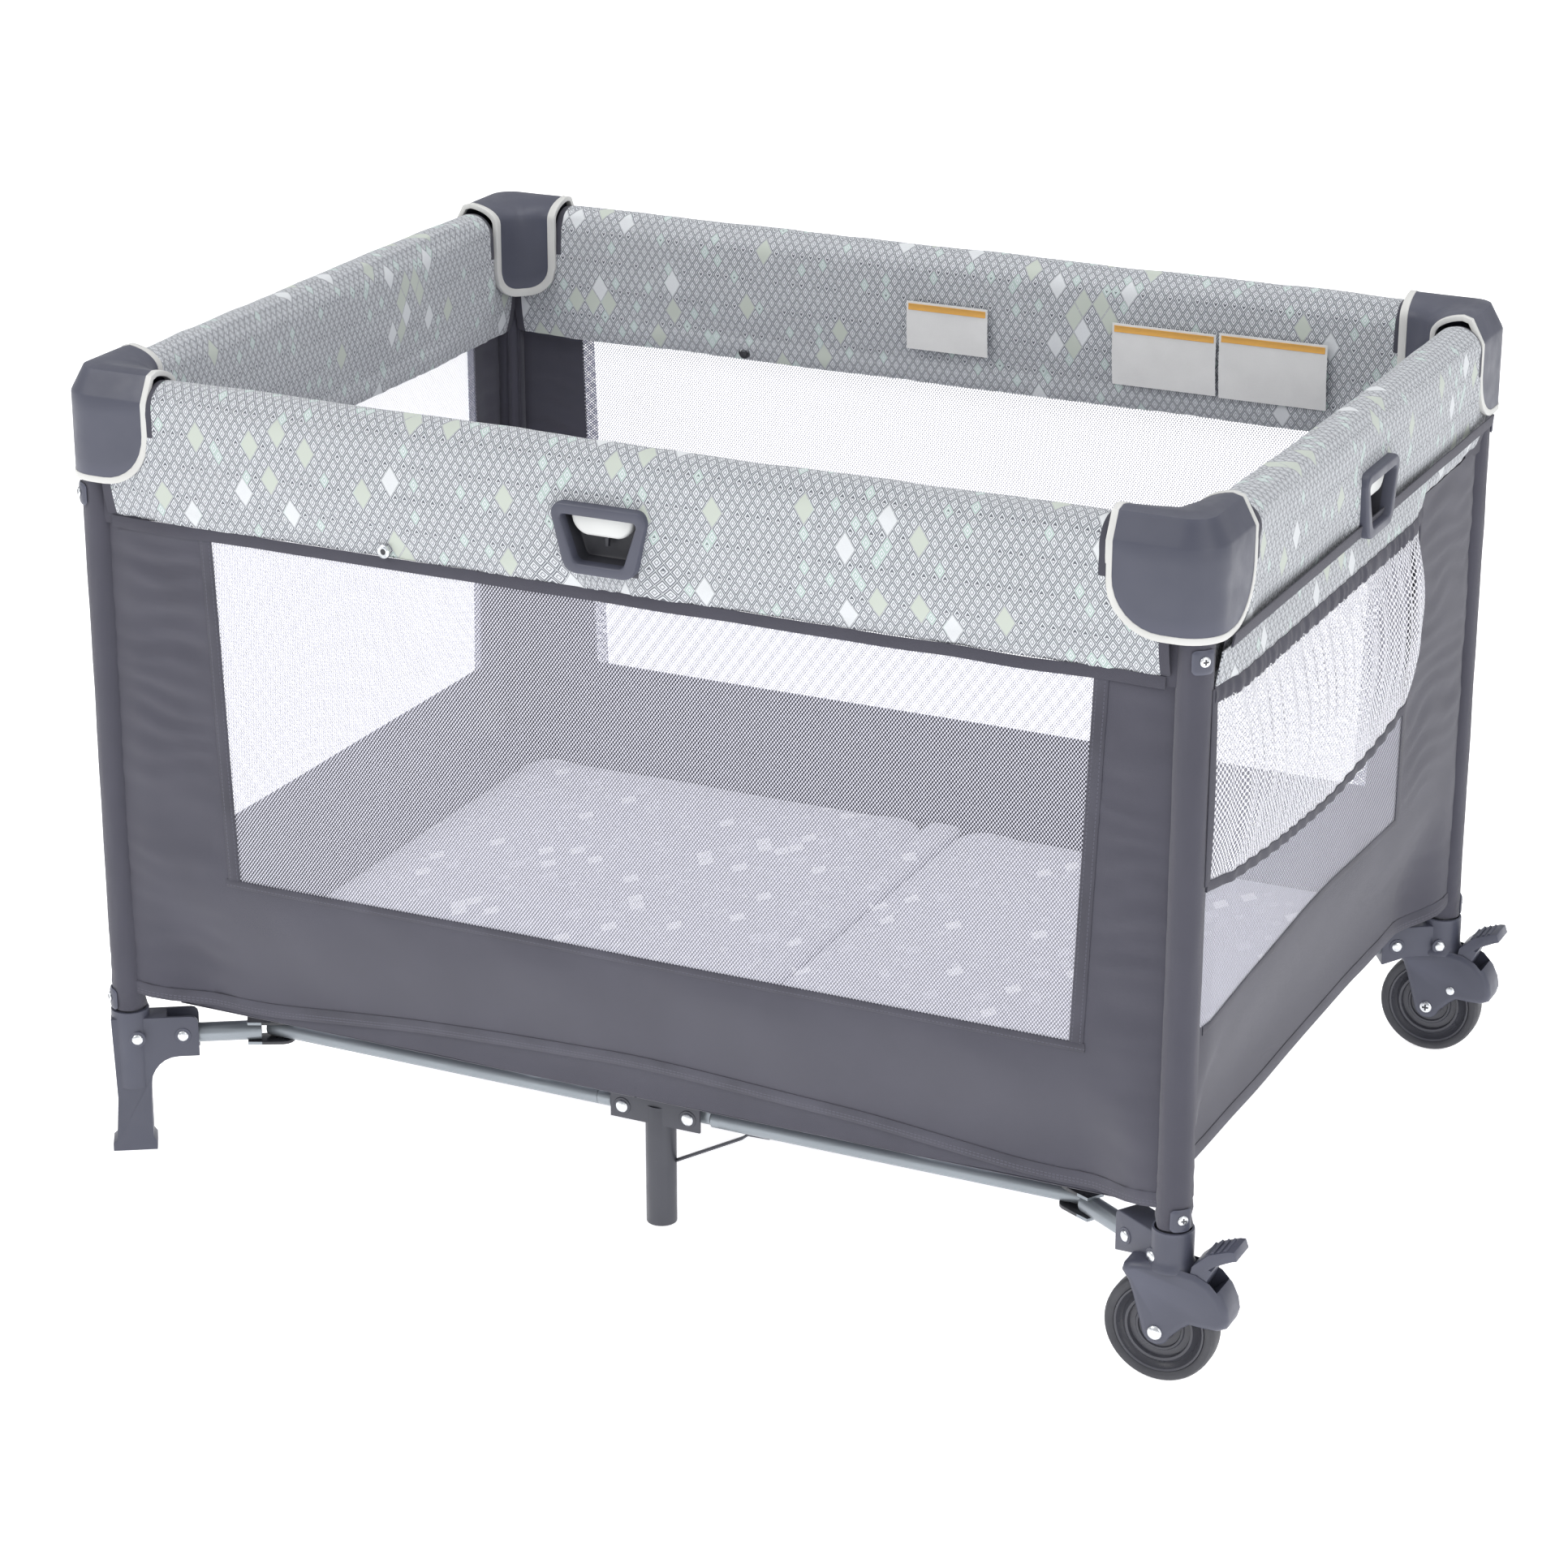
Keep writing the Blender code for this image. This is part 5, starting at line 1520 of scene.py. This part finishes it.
# ---------------------------------------------------------------- build
MATERIALS["seam"] = stitched("seam_tape", shaded(CLOTH, 0.92), (0.0024, 0.0090))
MATERIALS["hem"] = stitched("hem_tape", CLOTH, (0.0030, 0.0055))
for corner_name in CORNERS:
    make_cap(corner_name)
    make_post(corner_name)
for side_name in SIDES:
    make_cover(side_name)
    make_wall(side_name)
    make_handle(side_name)
make_pocket()
for half_name in ("left", "right"):
    make_floor(half_name)
    pad = f"pad_{half_name}"
    pillow(f"pad_panel_{half_name}", *inside_skirts(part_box(pad), PAD_FOOT), "pad_print", pad, pad)
pillow("pad_panel_spine", *inside_skirts(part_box("pad_spine"), PAD_FOOT), "pad_print", "pad_spine",
       "pad_spine", corner=0.01, edge=0.010)


# ---------------------------------------------------------------- base
FORK_HALF = 0.0172
FORK_ROOM = 0.0143
WHEEL_X = WHEEL.x - POST_BR.x
BRACKET_HALF = 0.012
LINK_ANGLE = math.radians(32)
CLEVIS_REACH = 0.130
TUBE_R = 0.0075
HUB_HALF, HUB_RIVET_X = 0.0110, 0.0306
BRACKET_Z, SOCKET_HALF = 0.1075, 0.0158         # height of a corner's rivets, and half its socket's width
PEDAL_SECTOR = (42, 72)                         # degrees round the axle that the housing leaves open


def cut_by(obj, cutter):
    modifier(obj, "BOOLEAN", operation="DIFFERENCE", object=cutter, solver="EXACT")
    apply_all(obj)
    bpy.data.objects.remove(cutter, do_unlink=True)


def link_place(corner, reach, z):
    """A point on the diagonal that runs from a post to its clevis."""
    sx, sy = CORNERS[corner]
    return Vector((CENTRE_X + sx * (HALF_X - reach * math.cos(LINK_ANGLE)),
                   sy * (HALF_Y - reach * math.sin(LINK_ANGLE)), z))


def link_side(corner):
    """Direction across that diagonal."""
    sx, sy = CORNERS[corner]
    return Vector((sx * math.sin(LINK_ANGLE), -sy * math.cos(LINK_ANGLE), 0)).normalized()


def boss(name, position, direction, radius, material="plastic"):
    """The low round pad under a rivet."""
    profile = [(0.0001, 0.0007), (radius - 0.0005, 0.0007), (radius, 0.0002), (radius, -0.0012)]
    return lathe(name, profile, facing(position, direction), material)


def bracket_rivets(corner):
    """The two rivets through each diagonal bracket, on both of its faces."""
    made = []
    side = link_side(corner)
    for n, reach in enumerate((0.0056, 0.0445)):
        for m, sign in enumerate((-1, 1)):
            face = BRACKET_HALF if n else SOCKET_HALF
            spot = link_place(corner, reach, BRACKET_Z) + side * sign * face
            made.append(boss(f"rivet_boss_{corner}_{n}{m}", spot, side * sign, 0.0072))
            top = spot + side * sign * 0.0005
            made.append(screw(f"rivet_{corner}_{n}{m}", top, side * sign, 0.0048, 0.0022, cross=False))
    rivets = merged(f"bracket_rivets_{corner}", made)
    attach(rivets, f"corner_{corner}")


def make_foot(corner):
    place = corner_place(corner).translation

    def slimmed(point):
        slim = 0.11 * smooth_step((0.080 - point.z) / 0.030)
        share = 1 - slim + 0.05 * smooth_step((0.016 - point.z) / 0.010)
        flat = place + (point - place) * share
        return Vector((flat.x, flat.y, point.z))

    carry(f"foot_{corner}", "plastic", 0.0018, 4, reshape=slimmed)
    bracket_rivets(corner)


def make_caster(corner):
    sy = CORNERS[corner][1]
    place = Matrix.Translation((POST_BR.x, sy * HALF_Y, 0)) @ Matrix.Diagonal((1, -sy, 1, 1))
    axle_x, axle_z = WHEEL_X, WHEEL.z
    outline = arc((axle_x, axle_z), 0.0125, 196, 345, 8)
    outline += [(0.0165, 0.0530), (0.0215, 0.0565), (0.0320, 0.0560), (0.0440, 0.0565), (0.0510, 0.0600),
                (0.0528, 0.0670), (0.0512, 0.0765), (0.0462, 0.0870), (0.0370, 0.0965), (0.0250, 0.1020),
                (0.0130, 0.1035), (-0.0150, 0.1035), (-0.0280, 0.1020), (-0.0350, 0.0985), (-0.0365, 0.0930),
                (-0.0310, 0.0850), (-0.0270, 0.0740), (-0.0230, 0.0600)]
    housing = prism(f"caster_housing_{corner}", outline, 2 * FORK_HALF, "plastic", UPRIGHT)
    rounded_edges(housing, 0.0078, 5, 50)
    room_r = WHEEL_R + 0.0022
    profile = [(0.0001, -FORK_ROOM), (room_r, -FORK_ROOM), (room_r, FORK_ROOM), (0.0001, FORK_ROOM)]
    room = lathe("room", profile, facing(Vector((axle_x, 0, axle_z)), (0, 1, 0)), "recess_shade", 48)
    cut_by(housing, room)
    first, last = PEDAL_SECTOR
    sector = arc((axle_x, axle_z), 0.038, first, last, 5) + arc((axle_x, axle_z), 0.085, last, first, 5)
    cut_by(housing, prism("pedal_room", sector, 2 * FORK_ROOM, "recess_shade", UPRIGHT))
    shade(housing, 35)
    socket = lathe(f"caster_socket_{corner}",
                   [(0.0142, 0.1290), (0.0150, 0.1322), (0.0165, 0.1316), (0.0168, 0.1290), (0.0168, 0.1080),
                    (0.0176, 0.1040), (0.0196, 0.1010), (0.0196, 0.0985)], Matrix(), "plastic", 32)
    bracket = prism(f"caster_bracket_{corner}",
                    [(0.004, 0.126), (0.004, 0.096)] + [(0.034, 0.0965), (0.058, 0.0895)]
                    + arc((0.053, 0.121), 0.005, 0, 90, 4), 2 * BRACKET_HALF, "plastic",
                    Matrix.Rotation(math.pi - LINK_ANGLE, 4, "Z") @ UPRIGHT)
    rounded_edges(bracket, 0.0012, 3, 50)
    caster = merged(f"caster_{corner}_finish", [housing, socket, bracket])
    settle(caster, place, f"corner_{corner}")
    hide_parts(f"caster_{corner}")
    bracket_rivets(corner)
    made = []
    out = Vector((0, sy, 0))
    axle = Vector((WHEEL.x, sy * HALF_Y, axle_z))
    made.append(screw(f"axle_head_{corner}", axle + out * FORK_HALF, out, 0.0062, 0.0032, cross=False))
    made.append(screw(f"axle_end_{corner}", axle - out * FORK_HALF, -out, 0.0056, 0.0022))
    pivot = Vector((POST_BR.x + 0.016, sy * HALF_Y, 0.066))
    made.append(screw(f"pedal_rivet_{corner}", pivot - out * FORK_HALF, -out, 0.0040, 0.0016, cross=False))
    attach(merged(f"caster_fittings_{corner}", made), f"corner_{corner}")
    half_tyre = [(0.0375, 0.0080), (0.0385, 0.0093), (0.0415, 0.0104), (0.0440, 0.0098), (0.0455, 0.0078),
                 (0.0460, 0.0045)]
    tyre = half_tyre + [(r, -z) for r, z in reversed(half_tyre)] + half_tyre[:1]
    disc = [(0.0001, 0.0086), (0.0070, 0.0086), (0.0076, 0.0062), (0.0118, 0.0060), (0.0124, 0.0052),
            (0.0172, 0.0052), (0.0180, 0.0066), (0.0196, 0.0066), (0.0206, 0.0054), (0.0252, 0.0052),
            (0.0262, 0.0080), (0.0282, 0.0084), (0.0292, 0.0060), (0.0318, 0.0040), (0.0340, 0.0052),
            (0.0356, 0.0084), (0.0372, 0.0090), (0.0378, 0.0074)]
    profile = disc + [(r, -z) for r, z in reversed(disc)]
    spin = facing(axle, (0, 1, 0))
    for piece, node in ((lathe(f"wheel_tyre_{corner}", tyre, spin, "rubber", 72), f"tyre_{corner}"),
                        (lathe(f"wheel_disc_{corner}", profile, spin, "rim", 72), f"wheel_hub_{corner}")):
        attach(piece, f"wheel_{corner}")
        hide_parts(node)

    def thinned(point):
        tread = 0.1180 + 0.46 * (point.x - POST_BR.x - 0.0315)
        amount = 0.5 * smooth_step((point.x - POST_BR.x - 0.0260) / 0.012)
        return Vector((point.x, point.y, point.z + max(0.0, tread - point.z) * amount))

    carry(f"brake_pedal_{corner}", "plastic", 0.0009, 2, reshape=thinned)
    ribs = []
    for n, (x, z) in enumerate(((0.0315, 0.1180), (0.0365, 0.1213), (0.0415, 0.1231), (0.0465, 0.1249))):
        path = [Vector((POST_BR.x + x, sy * HALF_Y + y, z)) for y in (-0.0118, 0, 0.0118)]
        section = round_section(0.0012, 0.0014, 8)
        ribs.append(sweep(f"rib_{corner}_{n}", path, section, (0.35, 0, 1), "plastic"))
    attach(merged(f"pedal_ribs_{corner}", ribs), f"pedal_{corner}")


def make_base(corner):
    sx, sy = CORNERS[corner]
    clevis = link_place(corner, CLEVIS_REACH, BASE_Z)

    def at_ear(centre):
        return (centre - clevis).xy.length < 0.0165

    carry(f"base_link_{corner}", "silver", 0.0012, 2, ("black", at_ear))
    carry(f"base_tube_{corner}", "silver", 0.0010, 2)
    pins = [screw(f"clevis_pin_{corner}_{n}", clevis + Vector((0, 0, sign * 0.0105)), (0, 0, sign), 0.0042,
                  0.0016, cross=False)
            for n, sign in enumerate((-1, 1))]
    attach(merged(f"clevis_pins_{corner}", pins), f"base_link_{corner}")
    if sx < 0:
        carry(f"yoke_{corner}", "silver", 0.0008, 2)
        return
    hub_x = CENTRE_X + HUB_RIVET_X
    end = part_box(f"base_tube_{corner}")[0].x
    y = sy * abs(HUB_Y)
    place = facing(Vector((0, y, BASE_Z)), (1, 0, 0))
    profile = [(0.0001, end - 0.0085), (TUBE_R - 0.0014, end - 0.0085), (TUBE_R, end - 0.0070),
               (TUBE_R, end + 0.0004)]
    stub = lathe(f"tube_end_{corner}", profile, place, "silver")
    tang = prism(f"tube_tang_{corner}", [(end - 0.007, -0.005)] + arc((hub_x, 0), 0.0060, 270, 90, 6)
                 + [(end - 0.007, 0.005)], 0.0040, "silver", Matrix.Translation((0, y, BASE_Z)) @ UPRIGHT)
    rounded_edges(tang, 0.0006)
    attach(merged(f"tube_end_{corner}", [stub, tang]), f"base_tube_{corner}")
    strap = [Vector((CENTRE_X + x, y + (0.004 if sy < 0 else -0.004), z)) for x, z in
             ((0.0105, 0.0565), (0.0120, 0.0570), (0.074, 0.0905), (0.080, 0.0955), (0.100, 0.0962))]
    section = round_section(0.0032, 0.0011, 12, 5)
    brace = sweep(f"base_brace_{corner}", strap, section, (0, 0, 1), "slate_paint")
    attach(brace, f"base_tube_{corner}")


def make_hub(name, sy):
    carry(name, "slate_paint", 0.0014, 3)
    made = []
    y = sy * abs(HUB_Y)
    for n, x in enumerate((-HUB_RIVET_X, HUB_RIVET_X)):
        for m, sign in enumerate((-1, 1)):
            spot = Vector((CENTRE_X + x, y + sign * HUB_HALF, BASE_Z))
            made.append(boss(f"hub_boss_{n}{m}", spot, (0, sign, 0), 0.0078, "slate_paint"))
            made.append(screw(f"hub_rivet_{n}{m}", spot + Vector((0, sign * 0.0005, 0)), (0, sign, 0), 0.0056,
                              0.0026, cross=False))
    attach(merged(f"{name}_rivets", made), name)


MATERIALS["rim"] = moulded("wheel_moulding", (0.060, 0.061, 0.074), 0.3)
for corner_name in ("fl", "bl"):
    make_foot(corner_name)
for corner_name in ("fr", "br"):
    make_caster(corner_name)
for corner_name in CORNERS:
    make_base(corner_name)
make_hub("hub_front", -1)
make_hub("hub_back", 1)


# ---------------------------------------------------------------- snaps and labels
def snap(name, side, u, z, out, material="zinc"):
    profile = [(0.0001, 0.0002), (0.0022, 0.0002), (0.0026, 0.0012), (0.0032, 0.0013), (0.0036, 0.0003),
               (0.0044, 0.0004), (0.0050, 0.0012), (0.0055, 0.0009), (0.0057, -0.0008)]
    place = facing(on_side(u, out, z), (0, -1 if out > 0 else 1, 0))
    ring = lathe(name, profile, place, material)
    profile = [(0.0001, 0.0006), (0.0022, 0.0006), (0.0023, 0.0002)]
    hollow = lathe(f"{name}_hollow", profile, place, "black", 16)
    piece = merged(name, [ring, hollow])
    put(piece, side_matrix(side))
    squash_side(piece, side)


def make_label(name, u0, u1, z0, z1, body):
    def inner(side, u, z):
        return -cover_width(z + 0.008) - 0.0020

    middle = (z0 + z1) / 2
    pieces = []
    path = [(u, middle) for u in spaced([u0, u1], 0.01)]
    pieces.append(ribbon(name, "back", path, z1 - z0, "label", 0.0, inner, 0.0005))
    path = [(u, z1 - 0.005) for u in spaced([u0 + 0.002, u1 - 0.002], 0.01)]
    pieces.append(ribbon(f"{name}_band", "back", path, 0.006, "label_band", -0.0006, inner, 0.0004))
    for piece in pieces:
        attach(piece, body)
        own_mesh(piece)
    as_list(pieces[1:])


snap("snap_front", "front", -0.200, 0.587, 0.0150)
snap("snap_back", "back", 0.221, 0.580, -0.0130, "black")
make_label("label_middle", -0.030, 0.050, 0.607, 0.652, "latch_back")
make_label("label_care", -0.249, -0.151, 0.597, 0.654, "rail_back_right")
make_label("label_blank", -0.352, -0.252, 0.596, 0.656, "rail_back_right")


# ---------------------------------------------------------------- CAD that still shows
# It is mostly inside the covers.
for node_name, node in frame["nodes"].items():
    if node.hide_render:
        continue
    finish = "silver" if node_name.startswith(("rail_", "yoke_", "base_")) else "slate_paint"
    node.data.materials.clear()
    node.data.materials.append(MATERIALS[finish])


# ---------------------------------------------------------------- studio
def area_light(name, position, target, size, power, colour=(1, 1, 1)):
    light = bpy.data.lights.new(name, "AREA")
    light.shape = "RECTANGLE"
    light.size, light.size_y = size
    light.energy = power
    light.color = colour
    obj = linked(name, light)
    obj.location = position
    obj.rotation_euler = (Vector(target) - Vector(position)).to_track_quat("-Z", "Y").to_euler()


scene = bpy.context.scene
world = bpy.data.worlds.new("studio")
world.use_nodes = True
backdrop = world.node_tree.nodes["Background"]
backdrop.inputs["Color"].default_value = (0.97, 0.98, 1.0, 1.0)
seen = world.node_tree.nodes.new("ShaderNodeLightPath").outputs["Is Camera Ray"]
strength = world.node_tree.nodes.new("ShaderNodeMapRange")
world.node_tree.links.new(seen, strength.inputs["Value"])
strength.inputs["To Min"].default_value = 0.60      # the light that the object gets
strength.inputs["To Max"].default_value = 1.05      # the backdrop behind it
world.node_tree.links.new(strength.outputs["Result"], backdrop.inputs["Strength"])
scene.world = world
area_light("key", (-2.4, -2.6, 3.2), (0, 0, 0.4), (2.4, 2.0), 60, (1.0, 0.99, 0.97))
area_light("fill", (3.2, -1.6, 1.8), (0, 0, 0.4), (2.2, 2.2), 24)
area_light("top", (0.2, 0.4, 3.4), (0, 0, 0.3), (2.6, 2.6), 36)

ground = Graph("studio_floor", 0.9)
ground.colour(ground.mix(ground.noise(3, 2), (0.93, 0.93, 0.94), (0.97, 0.97, 0.97)))
ground.shader.inputs["Emission Color"].default_value = (1.0, 1.0, 1.0, 1.0)
ground.shader.inputs["Emission Strength"].default_value = 0.80
bpy.ops.mesh.primitive_plane_add(size=14, location=(0, 0, -0.0005))
floor_plane = bpy.context.object
floor_plane.name = "studio_floor"
floor_plane.data.materials.append(ground.material)

camera_data = bpy.data.cameras.new("camera")
camera_data.lens = 96.45
camera_data.sensor_width = 36
camera_data.shift_x = 0.0127
camera_data.shift_y = 0.0157
camera = linked("camera", camera_data)
camera.location = (1.462 + CENTRE_X, -3.102, 1.602)
yaw, pitch = math.radians(25.82), math.radians(21.15)
look = Vector((-math.sin(yaw) * math.cos(pitch), math.cos(yaw) * math.cos(pitch), -math.sin(pitch)))
camera.rotation_euler = look.to_track_quat("-Z", "Y").to_euler()
scene.camera = camera
scene.view_settings.view_transform = "Standard"
